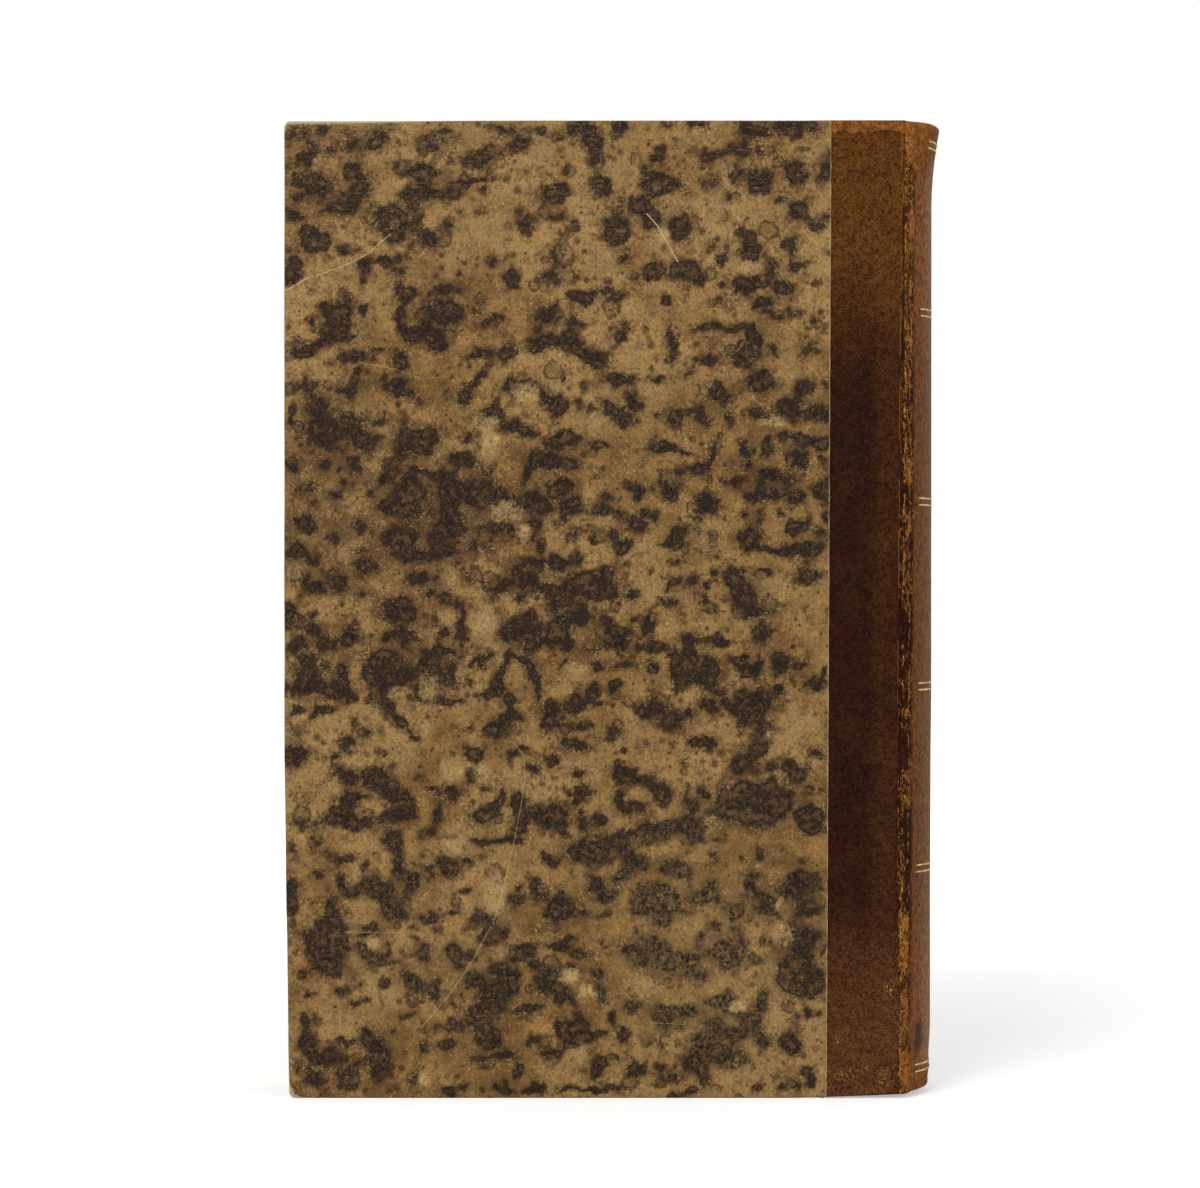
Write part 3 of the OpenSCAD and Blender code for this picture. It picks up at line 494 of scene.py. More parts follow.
    (56, 1.5, 4, 2, 0.85), (25, 3, 3, 2, 0.5), (46, 7, 4, 2, 0.6), (41, 46.5, 4, 2, 0.75),
    (52, 44.5, 4, 3, 0.88), (56.5, 47, 3, 4, 0.75), (61, 42, 4, 6, 0.88), (61, 53, 3, 3, 0.75),
    (44, 54, 4, 3, 0.55),
    # Tail, to the leather
    (66, 55.5, 4, 4, 0.94), (69.5, 48.5, 3.6, 4.5, 0.97), (72.5, 45.8, 5, 2.6, 0.97),
    (76.5, 50.5, 5.5, 3, 0.97, 30), (77.5, 55, 3, 5.5, 0.94), (62.5, 42.5, 7, 4.5, 0.9),
    (72, 40.7, 3, 2, 0.75), (84, 44, 9.5, 6.5, 0.94), (80, 42.5, 4, 3, 0.93), (85.5, 39.5, 4, 3, 0.88),
    (84, 47.5, 3, 2, 0.85), (88, 44, 2, 4, 0.85), (80.5, 53.5, 4, 4, 0.85), (88.5, 52, 6, 4, 0.88, -10),
    (90, 51, 4, 3, 0.85), (85, 51, 3, 2, 0.75), (94.5, 45.5, 7, 5, 0.92), (101.5, 42, 3.2, 3.5, 0.93),
    (97, 38, 3, 2.5, 0.88), (94, 36.5, 3, 2, 0.75), (105.5, 48, 4, 6, 0.88), (108, 44.5, 4, 3, 0.93),
    (104, 45, 3, 2, 0.75), (107, 42.5, 4, 2, 0.85), (110, 42, 2, 4, 0.85), (107, 55, 3, 3, 0.8),
    (102, 54, 2, 2, 0.75), (117, 48.5, 8, 5, 0.8), (114, 46, 5, 3, 0.85), (118, 43, 6, 4, 0.94),
    (116, 50, 4, 2, 0.85), (114, 37, 3.6, 7, 0.95, -10), (116, 32, 3.6, 5, 0.95, 25), (118, 36, 5, 6, 0.8),
    (116.5, 26.5, 9.5, 7, 0.97, 0, "ring"), (99, 33, 8.5, 4, 0.97), (102.5, 33.5, 3.4, 5, 0.97),
    (100.5, 30, 4, 2.5, 0.93), (106.5, 31, 4, 2.5, 0.85), (108, 35, 3, 2, 0.85), (84, 34, 8.5, 3, 0.94, -20),
    (88, 31.3, 11, 3, 0.95), (78, 33, 4, 3, 0.88), (92, 31, 4, 2, 0.94), (93, 28, 7, 2.5, 0.93),
    (80, 31, 4, 3, 0.85), (85, 29, 6, 2, 0.75), (63, 34.5, 3, 3, 0.9), (67, 33, 4, 3, 0.85),
    (66, 29, 3, 2, 0.93), (71, 28, 3, 3, 0.93), (62, 25, 2, 4, 0.98), (71, 23.5, 3, 4.5, 0.88),
    (72, 35, 3, 1.1, 0.85, -30), (64, 36.5, 4, 1.6, 0.75), (98, 22, 6.5, 3, 0.88), (100.5, 21, 3, 3, 0.88),
    (107.5, 22, 3, 4, 0.75), (103, 20, 4, 2.5, 0.6), (86, 19, 7.5, 3.6, 0.97), (91, 19.5, 4, 3, 0.94),
    (78, 21, 3, 3, 0.88), (66, 17, 5.5, 5.5, 0.93), (70.5, 14.5, 4.5, 2.5, 0.93), (64.5, 13, 4, 3, 0.95),
    (77, 14, 3, 3.4, 0.88), (68, 13, 4, 3, 0.85), (97, 16, 5.5, 5.5, 0.95), (94.5, 12, 5, 4.5, 0.98),
    (98, 10, 7, 4.5, 0.98), (101, 9, 5, 4, 0.96), (102, 14, 4, 3, 0.88), (106, 16, 4, 6, 0.8),
    (104, 18, 4, 3, 0.75), (92, 8, 4, 4, 0.93), (94.5, 5.5, 3, 5.5, 0.9), (107, 12.5, 2.5, 2, 0.75),
    (113.5, 12.5, 4.6, 5, 0.99), (118, 19, 3, 2, 0.75), (121, 19.5, 2, 1.6, 0.65), (79, 6.5, 4, 4, 0.95),
    (84.7, 7, 2.6, 3, 0.96), (84.3, 12.3, 1.4, 1.8, 0.88), (70.5, 7, 4, 5, 0.85), (73.5, 3, 4, 2, 0.93),
    (69, 2, 5, 1.6, 0.92), (64, 1.5, 5, 1.6, 0.88), (91, 1.5, 3.4, 2, 0.96), (87, 1, 3, 2, 0.88),
    (88.5, 5, 2, 2, 0.8), (83, 3, 2, 2, 0.65), (107, 2.5, 2.6, 2, 0.8), (112, 3, 2.6, 2.6, 0.8),
    (115.5, 3.2, 2, 2, 0.75), (118.5, 4, 2, 3, 0.8), (74.5, 8.5, 2, 1.6, 0.65), (77, 9.5, 1.2, 1, 0.75),
]

# Places where rubbing has broken the rear paper's surface, as middle, width, height and strength
REAR_RUBBED = [
    (24, 218, 9, 3, 0.5), (36, 216, 7, 4, 0.5), (47, 196, 10, 7, 0.5), (46, 147, 6, 9, 0.9),
    (45, 152, 7, 5, 0.8), (54, 158.5, 7, 6, 0.9), (50, 132, 9, 6, 0.8), (54, 127, 5, 5, 0.9),
    (45, 108, 8, 7, 0.8), (32, 92, 5, 8, 0.75), (38, 74, 7, 7, 0.85), (45, 73, 5, 6, 0.9),
    (32, 83, 3.5, 6, 0.7), (38, 57, 7, 7, 0.7), (47.5, 46, 6, 12, 0.75), (64.5, 27, 4.6, 5, 1.0),
    (68.5, 23.8, 5.5, 3.2, 0.95),
    (66, 97, 7, 4, 0.7), (85.5, 194, 2.6, 6, 0.95), (110, 152.5, 8, 3, 0.9), (105, 187, 7, 3, 0.8),
    (63, 190, 4, 5, 0.6), (96, 202, 8, 8, 0.35), (94, 127, 7, 7, 0.35), (115, 86, 9, 7, 0.4),
    (112, 37, 6, 6, 0.6), (111.5, 44, 2.6, 2.6, 0.9), (102, 20.7, 4, 2.4, 0.9), (31.5, 4, 4, 4, 0.9),
    (66, 10, 7, 7, 0.5), (60, 7, 6, 6, 0.35), (104, 6, 14, 6, 0.3), (80, 25, 8, 6, 0.5),
    (20, 35, 4, 3, 0.9), (2.5, 118, 5, 4, 0.6), (83, 85, 1.2, 1, 1.0), (109, 82, 2.4, 3, 0.9),
]

# Lines scratched in the rear paper, as half-width, strength and points
REAR_SCRATCHES = [
    (0.11, 0.85, [(0, 181.4), (5, 184.3), (9.5, 185.8), (15, 187.9), (19, 190), (21, 192), (24, 194.3)]),
    (0.16, 0.8, [(81.6, 199), (84, 196.3), (86, 192.8), (88.6, 188.2)]),
    (0.09, 0.5, [(52, 79.5), (54, 77), (54.2, 72), (53.2, 65), (51.6, 57), (49, 46), (47, 39)]),
    (0.1, 0.5, [(46.5, 38.6), (42.5, 31), (37, 23), (31, 16)]),
    (0.09, 0.45, [(17, 165.6), (25, 164), (31, 161.8), (37, 162.4)]),
    (0.08, 0.5, [(13.5, 37.4), (24.5, 37.2)]),
    (0.08, 0.4, [(109.5, 188.6), (114, 182.3)]),
    (0.09, 0.45, [(82.7, 17), (90, 16.6)]),
    (0.09, 0.8, [(98.8, 122.3), (100.4, 122.2)]),
    (0.12, 0.6, [(105.4, 157.8), (107.6, 155.6)]),
]


# Places on the leather, each as its middle past the crease and above the tail, its width, its height
# and mostly its strength: where the joint is worn to the tan, the spine bruised, and flakes are off
RIDGE_WORN = (
    (2.3, 196, 3.2, 12, 0.8), (2.2, 182, 2.8, 7, 0.7), (2.1, 170.5, 3.0, 5, 0.95),
    (1.8, 163, 1.8, 6, 0.5), (1.9, 140, 2.4, 9, 0.8), (1.6, 128, 2.0, 5, 0.6), (2.2, 112, 1.6, 8, 0.4),
    (1.4, 86, 2.0, 4, 0.7), (1.4, 67, 1.8, 5, 0.6), (1.3, 40, 2.2, 5, 0.95), (1.3, 31, 2.0, 3, 0.9),
    (1.4, 21.5, 3.0, 8, 0.85), (2.0, 6, 4.6, 14, 0.85),
)
SPINE_BRUISED = ((6.8, 13.5, 5.5, 9), (6.4, 3.8, 4.0, 4.5))
FLAKED = (
    (-16.4, 4.5, 2.4, 6, 1.0), (-12, 5.5, 6, 3, 0.75), (-13.5, 13, 2, 2, 0.7), (-3.2, 4.5, 3.2, 5, 0.9),
    (-8, 7, 3.5, 2.4, 0.7), (-2.0, 24.5, 3.2, 3.5, 0.8), (-6, 2.0, 10, 1.4, 0.5), (-10, 210, 2, 2, 0.6),
)


def scattered_blotches():
    """A figure of the same kind for the front cover, sown at random."""
    rng = np.random.default_rng(41)
    blotches = []
    for _ in range(430):
        size = 1.8 + 5.5 * rng.random() ** 2.2
        blotches.append((
            PAPER_SHOW * rng.random(), COVER_H * rng.random(), size * (0.8 + 0.8 * rng.random()),
            size * (0.7 + 0.6 * rng.random()), 0.55 + 0.45 * rng.random(), 180 * rng.random(),
            *(["ring"] if rng.random() < 0.16 else []),
        ))
    return blotches


def small_spots(seed):
    """Fainter spots sown among the blotches."""
    rng = np.random.default_rng(seed)
    spots = []
    for _ in range(620):
        middle = (PAPER_SHOW * rng.random(), COVER_H * rng.random())
        size = 0.8 + 2.4 * rng.random() ** 1.5
        spots.append((*middle, size, size, 0.3 + 0.55 * rng.random()))
    return spots


def scattered_rubs():
    """Rubbed places for the front cover, sown at random."""
    rng = np.random.default_rng(57)
    return [
        (PAPER_SHOW * rng.random(), COVER_H * rng.random(), 3 + 6 * rng.random(),
         3 + 6 * rng.random(), 0.3 + 0.5 * rng.random())
        for _ in range(30)
    ]


def figure(u, z, blotches, seed):
    """Depth of the dark colour, and of the stain round it, at each point of a grid."""
    bend_u = 3.0 * (cloud(u, z, 4.0, seed) - 0.5) + 1.8 * (cloud(u, z, 1.2, seed + 7) - 0.5)
    bend_z = 3.4 * (cloud(u, z, 4.0, seed + 20) - 0.5) + 1.8 * (cloud(u, z, 1.2, seed + 27) - 0.5)
    warped_u, warped_z = u + bend_u, z + bend_z
    clear = np.ones_like(u)
    unstained = np.ones_like(u)
    for middle_u, middle_z, width, height, depth, *rest in blotches:
        turn = math.radians(rest[0]) if rest else 0.0
        reach = 1.3 * max(width, height) + 3
        window = (np.abs(u - middle_u) < reach) & (np.abs(z - middle_z) < reach)
        du, dz = warped_u[window] - middle_u, warped_z[window] - middle_z
        along = (du * math.cos(turn) + dz * math.sin(turn)) / (width / 2)
        across = (dz * math.cos(turn) - du * math.sin(turn)) / (height / 2)
        distance = np.hypot(along, across)
        if "ring" in rest:
            ink = np.exp(-(((distance - 0.85) / 0.36) ** 2)) + 0.5 * smooth(distance, 1.0, 0.6)
        else:
            ink = smooth(distance, 1.78, 0.25)
        clear[window] *= 1 - np.clip(ink, 0, 1) * depth
        unstained[window] *= 1 - 0.55 * depth * smooth(distance, 2.5, 0.9)
    return 1 - clear, 1 - unstained


def rubbing(u, z, places):
    """How far the surface is rubbed at each point of a grid."""
    warped_u = u + 2.5 * (cloud(u, z, 2.0, 91) - 0.5)
    warped_z = z + 2.5 * (cloud(u, z, 2.0, 97) - 0.5)
    total = np.zeros_like(u)
    for middle_u, middle_z, width, height, strength in places:
        distance = from_middle(warped_u, warped_z, middle_u, middle_z, width, height)
        total = np.maximum(total, strength * smooth(distance, 1.25, 0.5))
    return total


# Materials

def marbled_paper_material(side):
    """Spotted marbled paper, darkened, rubbed and scratched by use."""
    s = Shader(f"marbled_paper_{side}")
    ink, stain, rubbed, worn = (s.layer(key) for key in ("ink", "stain", "rubbed", "worn"))
    flecks = s.noise(0.8, 5.0, 0.7)
    fine = s.noise(0.26, 3.0, 0.65)
    upright = s.noise(0.5, 3.0, 0.6, stretch=(1, 1, 5))
    threads = upright * 0.5 + s.noise(0.5, 3.0, 0.6, stretch=(5, 1, 1)) * 0.5
    drift = s.noise(9.0, 4.0, 0.55)
    broad = s.noise(34.0, 3.0, 0.5)
    patchy = s.noise(3.2, 5.0, 0.65)
    # Ground: olive tan, browner in places and paler in others
    ground = s.colour(drift.step(0.36, 0.64), "70522a", "977443")
    ground = s.colour(broad.step(0.42, 0.6) * 0.65, ground, "ab8b57")
    ground = s.colour(patchy.step(0.5, 0.68) * 0.5, ground, "5f4728")
    rust = s.noise(15.0, 3.0, 0.55).step(0.5, 0.66) * (0.2 + stain * 0.5)
    ground = s.colour(rust.clamp(), ground, "5f3b1c")
    golden = s.noise(4.5, 4.0, 0.6)
    ground = s.colour(golden.step(0.48, 0.62) * 0.4, ground, "99713a")
    ground = s.colour((fine * 0.6 + threads * 0.6).step(0.5, 0.75) * 0.5, ground, "4c3820")
    # Brown veil round the blotches, fainter spots between them, then the blotches with broken edges
    veil = (stain + (patchy - 0.5) * 1.8 + (flecks - 0.5) * 0.7 + (drift - 0.5) * 0.6).step(0.12, 0.85)
    brown = s.colour(drift.step(0.4, 0.6), "4c361e", "4a2c17")
    body = s.colour(veil * 0.7, ground, brown)
    faint = (s.noise(2.6, 4.0, 0.6) + (flecks - 0.5) * 0.25).step(0.56, 0.67)
    body = s.colour(faint * 0.4, body, "35251a")
    coarse = s.noise(1.5, 4.0, 0.65)
    thin = s.noise(2.4, 4.0, 0.62)
    edge = ink * (thin * 1.7 + 0.28) + (flecks - 0.5) * 0.8 + (fine - 0.5) * 0.4 + (coarse - 0.5) * 0.9
    mask = edge.step(0.34, 0.78)
    halo = edge.step(0.0, 0.5)
    deep = s.colour(coarse.step(0.35, 0.65), "090708", "1f1712")
    deep = s.colour((fine * 0.5 + flecks * 0.5).step(0.46, 0.64) * 0.5, deep, "463420")
    body = s.colour(halo * 0.4, body, "3a2715")
    body = s.colour(mask * 0.96, body, deep)
    # Inside its dark rim a large blotch is thinner
    filled = (edge + (thin - 0.5) * 0.7 + (patchy - 0.5) * 0.7).step(0.94, 1.36)
    body = s.colour(filled * 0.62, body, "5f4528")
    # Spots thrown between the blotches, the larger ones dried to a ring
    for cell, size in ((10.0, 0.2), (6.5, 0.19)):
        scatter = s.noise(cell * 1.7, 1.0).step(0.46, 0.56)
        away = s.cells(cell) + (coarse - 0.5) * 0.3 + (fine - 0.5) * 0.08
        body = s.colour(away.step(size + 0.03, size - 0.06) * scatter * 0.45, body, "3a2a1c")
        rim = (away - size).math("ABSOLUTE").step(0.06, 0.02)
        body = s.colour(rim * scatter * 0.7, body, "1d1510")
    for cell, size, share in ((5.4, 0.2, 0.48), (3.6, 0.21, 0.48), (2.2, 0.17, 0.48)):
        scatter = s.noise(cell * 2.2, 1.0).step(share - 0.06, share + 0.08)
        away = s.cells(cell) + (fine - 0.5) * 0.12 + (flecks - 0.5) * 0.15
        body = s.colour(away.step(size * 1.4, size * 0.5) * scatter * 0.78, body, "21170f")
    # Rubbed places, where pale fibres show in specks
    scuffed = (rubbed * 0.7 + (coarse - 0.5) * 1.5 + (flecks - 0.5) * 1.5).step(0.2, 0.75)
    body = s.colour(scuffed * rubbed.step(0.1, 0.35) * 0.24, body, "9c7d48")
    specks = (flecks * 0.5 + threads * 0.4 + fine * 0.25 + rubbed * 0.1).step(0.56, 0.68)
    body = s.colour((specks * rubbed * 0.75).clamp(), body, "a98c5c")
    torn = rubbed * 0.8 + (flecks - 0.5) * 2.2 + (threads - 0.5) * 2.0 + (coarse - 0.5) * 1.6
    body = s.colour(torn.step(0.9, 1.15) * rubbed.step(0.2, 0.6) * 0.75, body, "bb9c66")
    # Pale fibres and dust: drawn out sideways near the head, in specks elsewhere
    drawn = s.noise(0.4, 3.0, 0.65, stretch=(6, 1, 1)).step(0.56, 0.66)
    drawn = drawn * (s.z.step(COVER_H - 45, COVER_H - 15) * 0.35 + patchy.step(0.55, 0.7) * 0.25)
    body = s.colour(drawn.clamp(), body, "8f744b")
    gathered = s.noise(5.0, 3.0, 0.6, stretch=(1.2, 1, 1)).step(0.42, 0.62)
    salt = s.noise(0.5, 2.0, 0.6, stretch=(1.1, 1, 1)).step(0.53, 0.68) * (gathered * 0.4 + 0.1)
    body = s.colour(salt * (1 - mask * 0.75), body, "bd9c64")
    pepper = s.noise(0.55, 2.0, 0.6, stretch=(1, 1, 1.1)).step(0.52, 0.68)
    body = s.colour(pepper * (0.5 - gathered * 0.25), body, "2c1f17")
    rusty = s.noise(0.6, 2.0, 0.6, stretch=(1.2, 1, 1.2)).step(0.6, 0.68) * broad.step(0.35, 0.6)
    body = s.colour(rusty * 0.5, body, "6e3a1c")
    dust = s.noise(0.34, 2.0, 0.6).step(0.64, 0.72)
    body = s.colour(dust * (0.3 + gathered * 0.35), body, "b3a078")
    if side == "rear":
        for half_width, strength, points in REAR_SCRATCHES:
            moved = [(FORE_X + px, pz) for px, pz in points]
            line = (s.near_line(moved) + (fine - 0.5) * 0.16).step(half_width * 1.2, half_width * 0.3)
            line = line * (0.55 + s.noise(1.2, 2.0).step(0.4, 0.55) * 0.45)
            body = s.colour(line * strength, body, "c2ad80")
    # Edges rubbed to bare paper
    bare = (worn + (flecks - 0.5) * 0.7).step(0.45, 0.75)
    body = s.colour(bare * 0.85, body, "b7a681")
    # The cut edge beside the leather shows its pale core
    to_cut = s.x - (s.z * CUT_SLANT + (JOINT_X - LEATHER_SHOW_TAIL))
    core = (to_cut + (coarse - 0.5) * 0.3).step(-0.2, -0.08)
    core = core * (0.45 + s.noise(2.5, 3.0, 0.6).step(0.4, 0.6) * 0.45)
    body = s.colour(core, body, "b59d70")
    relief = ink * -0.25 + fine * 0.4 + s.noise(0.12, 2.0) * 0.5 + rubbed * specks * 0.4
    return s.finish(
        Base_Color=body, Roughness=0.56 + fine * 0.14 - ink * 0.06,
        Normal=s.bump(relief, 0.05, 0.6), Specular_IOR_Level=0.1,
    )


def calf_material(side):
    """Dark calf: fine grain, brown at head and tail, cracked and worn to orange along the joint."""
    s = Shader(f"calf_{side}")
    across, worn, dark = s.layer("across"), s.layer("worn"), s.layer("dark")
    low = s.z.step(COVER_H * 0.55, COVER_H * 0.12)
    pebbles = s.cells(0.6, "DISTANCE_TO_EDGE", stretch=(1.3, 1, 1))
    mottle = s.noise(1.2, 4.0, 0.65)
    fine = s.noise(0.35, 3.0, 0.65)
    drift = s.noise(12.0, 4.0, 0.55)
    grained = s.noise(0.75, 3.0, 0.6, stretch=(1.4, 1, 1))
    close = s.noise(0.36, 2.0, 0.6, stretch=(1.2, 1, 1))
    lit = (close * 0.7 + grained * 0.2 + mottle * 0.45 - 0.175).step(0.34, 0.66)
    browner = s.colour(low, s.colour(lit, "331903", "6a3f10"), s.colour(lit, "35190b", "69401f"))
    deeper = s.colour(lit, "130400", "371505")
    body = s.colour((dark + (drift - 0.5) * 0.7).clamp(), browner, deeper)
    # The spine's side, redder, with fine broken creases along its height
    creases = s.noise(0.36, 3.0, 0.6, stretch=(1, 1, 4))
    spine = s.colour((creases * 0.7 + mottle * 0.4).step(0.42, 0.68), "552b0f", "9a6232")
    # Paler towards the spine's curve: a painted sheen
    painted_sheen = s.colour(creases.step(0.4, 0.6), "80583a", "b18a66")
    spine = s.colour(across.step(5.0, 12.0) * 0.6, spine, painted_sheen)
    spine = s.colour((dark * 0.3 + (mottle - 0.5) * 0.6).clamp(), spine, "4a2914")
    spine = s.colour((dark + (mottle - 0.5) * 1.6).step(1.1, 1.9) * 0.7, spine, "3a2a26")
    body = s.colour(across.step(2.6, 4.4) * 0.9, body, spine)
    # Worn places: tan with ragged edges, broken by darker patches
    tan = s.colour((mottle * 0.6 + fine * 0.5).step(0.4, 0.7), "5a3010", "985c25")
    tan = s.colour(s.noise(3.0, 3.0).step(0.5, 0.62) * 0.5, tan, "4a2812")
    orange = worn.step(0.7, 0.9) * across.step(0.0, 0.5) * mottle.step(0.35, 0.5)
    tan = s.colour(orange * 0.3, tan, "a5652a")
    frayed = worn + (mottle - 0.5) * 0.9 + (fine - 0.5) * 0.7
    ragged = frayed.step(0.4, 0.66)
    body = s.colour(ragged, body, tan)
    # Round them the finish stands up in a dark rim, with bright torn bits inside it
    rim = (frayed - 0.42).math("ABSOLUTE").step(0.09, 0.02) * worn.step(0.25, 0.4)
    body = s.colour(rim * 0.6, body, "251006")
    torn = (frayed - 0.6).math("ABSOLUTE").step(0.08, 0.02) * fine.step(0.48, 0.6)
    body = s.colour(torn * 0.5, body, "b9853f")
    glints = (fine + worn * 0.1).step(0.66, 0.74) * worn.step(0.3, 0.6)
    body = s.colour(glints * 0.6, body, "b58241")
    # Long cracks beside the joint: dark inside, with pale flaked lips
    wander = s.noise(5.0, 2.0, 0.5, stretch=(1, 1, 2)) - 0.5
    jagged = s.noise(0.9, 3.0, 0.7, stretch=(1, 1, 1.6)) - 0.5
    cracked = across.step(-0.7, -0.2) * across.step(4.2, 2.8)
    split = s.noise(0.5, 2.0, 0.55, stretch=(1, 1, 5)) + jagged * 0.35
    lips = (split - 0.5).math("ABSOLUTE").step(0.045, 0.015) * cracked
    lips = lips * s.noise(4.0, 2.0, stretch=(1, 1, 2)).step(0.44, 0.56)
    body = s.colour(lips * 0.65, body, "ba7c36")
    pits = (s.noise(0.6, 4.0, 0.65, stretch=(1, 1, 2.2)) + worn * 0.05).step(0.58, 0.66) * cracked
    pits = pits * (1 - worn.step(0.65, 0.85) * 0.45)
    body = s.colour(pits * 0.85, body, "220f06")
    for start, sway, strength in ((0.5, 1.2, 0.85), (2.1, 1.6, 0.6)):
        edge = (across - start + wander * sway + jagged * 1.7).math("ABSOLUTE").step(0.17, 0.05)
        edge = edge * s.noise(1.6, 3.0, 0.6, stretch=(1, 1, 1.5)).step(0.48, 0.56)
        body = s.colour(edge * strength, body, "bb8039")
    # The crease is drawn as a dark line: painted shade in the crease, broken in places and fainter towards
    # the tail
    crease = (across + wander * 0.5 + jagged * 0.3).math("ABSOLUTE").step(0.26, 0.08)
    broken = s.noise(7.0, 3.0, 0.6, stretch=(1, 1, 2)).step(0.38, 0.5)
    crease = crease * broken * s.z.step(COVER_H - 2, COVER_H - 4) * (s.z.step(30, 70) * 0.65 + 0.2)
    body = s.colour(crease * 0.9, body, "1a0d08")
    hairline = (across + 0.7 + wander * 0.5 + jagged * 0.3).math("ABSOLUTE").step(0.1, 0.03)
    hairline = hairline * s.noise(9.0, 3.0, 0.6).step(0.44, 0.54) * s.z.step(60, 110)
    body = s.colour(hairline * 0.7, body, "93652f")
    # Flakes scuffed off near the tail, and a few specks
    flakes = s.layer("flaked") * s.noise(0.65, 4.0, 0.7).step(0.54, 0.61)
    body = s.colour(flakes.clamp() * 0.9, body, "b8934f")
    relief = pebbles.step(0.0, 0.22) * 0.8 + fine * 0.3 + creases * 0.2
    relief = relief - pits * 0.9 - crease * 0.5 + lips * 0.3
    rough = 0.42 + mottle * 0.14 + ragged * 0.16 + pits * 0.2
    return s.finish(
        Base_Color=body, Roughness=rough, Normal=s.bump(relief, 0.12, 0.9), Specular_IOR_Level=0.07,
    )


def gold_material():
    """Gold leaf, rubbed through to the leather here and there."""
    s = Shader("gold_leaf_worn")
    rubbed = (s.noise(0.9, 3.0, 0.6) + s.noise(0.25, 2.0) * 0.3).step(0.72, 0.86)
    warm = s.colour(s.noise(1.6, 2.0).step(0.35, 0.65), "dcaa50", "ffe6a4")
    return s.finish(
        Base_Color=s.colour(rubbed, warm, "6b4524"), Metallic=0.5 - rubbed * 0.45,
        Roughness=0.34 + rubbed * 0.25, Normal=s.bump(s.noise(0.2, 2.0), 0.02, 0.5),
    )


def leaf_edge_material():
    """The cut edges of the leaves: fine lines, browned, dusty at the head."""
    s = Shader("leaf_edges")
    leaves = s.noise(0.13, 2.0, 0.7, stretch=(60, 1, 60))
    sections = s.noise(0.9, 2.0, 0.5, stretch=(30, 1, 30))
    age = s.noise(9.0, 3.0, 0.6)
    body = s.colour(leaves.step(0.3, 0.7), "9a835a", "d3c093")
    body = s.colour(sections.step(0.45, 0.7) * 0.4, body, "8d744a")
    body = s.colour(age.step(0.45, 0.75) * 0.35, body, "9a7c4c")
    dust = s.z.step(BLOCK_HIGH[2] - 0.6, BLOCK_HIGH[2] - 0.1)
    body = s.colour(dust * (0.35 + s.noise(3.0, 3.0) * 0.4), body, "6f604a")
    foxing = (s.cells(6.0) + (s.noise(0.8, 2.0) - 0.5) * 0.1).step(0.16, 0.05) * age.step(0.5, 0.6)
    body = s.colour(foxing * 0.6, body, "8a5a2a")
    relief = leaves * 0.8 + sections * 0.4
    return s.finish(Base_Color=body, Roughness=0.82, Normal=s.bump(relief, 0.12, 0.8))


def endpaper_material():
    """Foxed wove paper, browned round its margins by the leather and boards."""
    s = Shader("endpaper_foxed")
    laid = s.noise(0.25, 3.0, 0.6)
    mottled = s.noise(14.0, 4.0, 0.55)
    body = s.colour(mottled.step(0.3, 0.7), "d6bb90", "e4cfa6")
    body = s.colour(laid.step(0.45, 0.65) * 0.2, body, "b99d6e")
    spots = (s.cells(7.0) + (s.noise(0.9, 3.0) - 0.5) * 0.16).step(0.2, 0.02)
    body = s.colour(spots * s.noise(18.0, 2.0).step(0.45, 0.6) * 0.7, body, "9a6a35")
    small = (s.cells(2.1) + (laid - 0.5) * 0.1).step(0.13, 0.04) * mottled.step(0.5, 0.62)
    body = s.colour(small * 0.6, body, "94683a")
    near_edge = (s.x - FORE_X).step(14, 3) + s.z.step(17, 5) + s.z.step(COVER_H - 17, COVER_H - 5)
    toned = (near_edge * 0.5 + (mottled - 0.5) * 0.4).clamp()
    body = s.colour(toned * 0.6, body, "b08c5a")
    by_joint = (s.x - JOINT_X).step(-12, 0)
    body = s.colour(by_joint * (0.35 + mottled * 0.3), body, "9c7a4a")
    return s.finish(Base_Color=body, Roughness=0.8, Normal=s.bump(laid, 0.03, 0.5))


def lining_paper_material():
    """Coarse paper of the spine's tube."""
    s = Shader("lining_paper_coarse")
    pulp = s.noise(0.5, 4.0, 0.7)
    body = s.colour(pulp.step(0.3, 0.7), "8a744e", "b09a70")
    return s.finish(Base_Color=body, Roughness=0.88, Normal=s.bump(pulp, 0.05, 0.6))


def millboard_material():
    """Grey pulp, with the leather's turned-in corners drawn on the board's edge in the joint."""
    s = Shader("millboard_grey_brown")
    pulp = s.noise(0.7, 5.0, 0.7)
    body = s.colour(pulp.step(0.3, 0.7), "5d5140", "847358")
    body = s.colour(s.noise(0.3, 2.0).step(0.64, 0.72) * 0.6, body, "3c3226")
    by_joint = s.x.step(BOARD_HIGH[0] - 1.0, BOARD_HIGH[0] - 0.8)
    leather = s.colour(pulp.step(0.35, 0.65), "6b3312", "8f4c1e")
    body = s.colour(s.z.step(BLOCK_HIGH[2] - 0.4, BLOCK_HIGH[2] - 0.3) * by_joint, body, leather)
    body = s.colour(s.z.step(BLOCK_LOW[2] + 0.4, BLOCK_LOW[2] + 0.3) * by_joint, body, "4a2410")
    return s.finish(Base_Color=body, Roughness=0.9, Normal=s.bump(pulp, 0.08, 0.7))


def linen_material():
    """Plain woven cloth, seen close to."""
    s = Shader("linen_weave")
    pitch = 0.55
    warp = ((s.z / pitch) * (2 * math.pi)).math("SINE")
    weft = ((s.y / pitch) * (2 * math.pi)).math("SINE")
    thread = (warp * weft * 0.5 + 0.5) * (0.7 + s.noise(0.4, 2.0) * 0.6)
    body = s.colour(thread.clamp(), "8f835f", "c9bd97")
    return s.finish(Base_Color=body, Roughness=0.92, Normal=s.bump(thread, 0.1, 0.8))


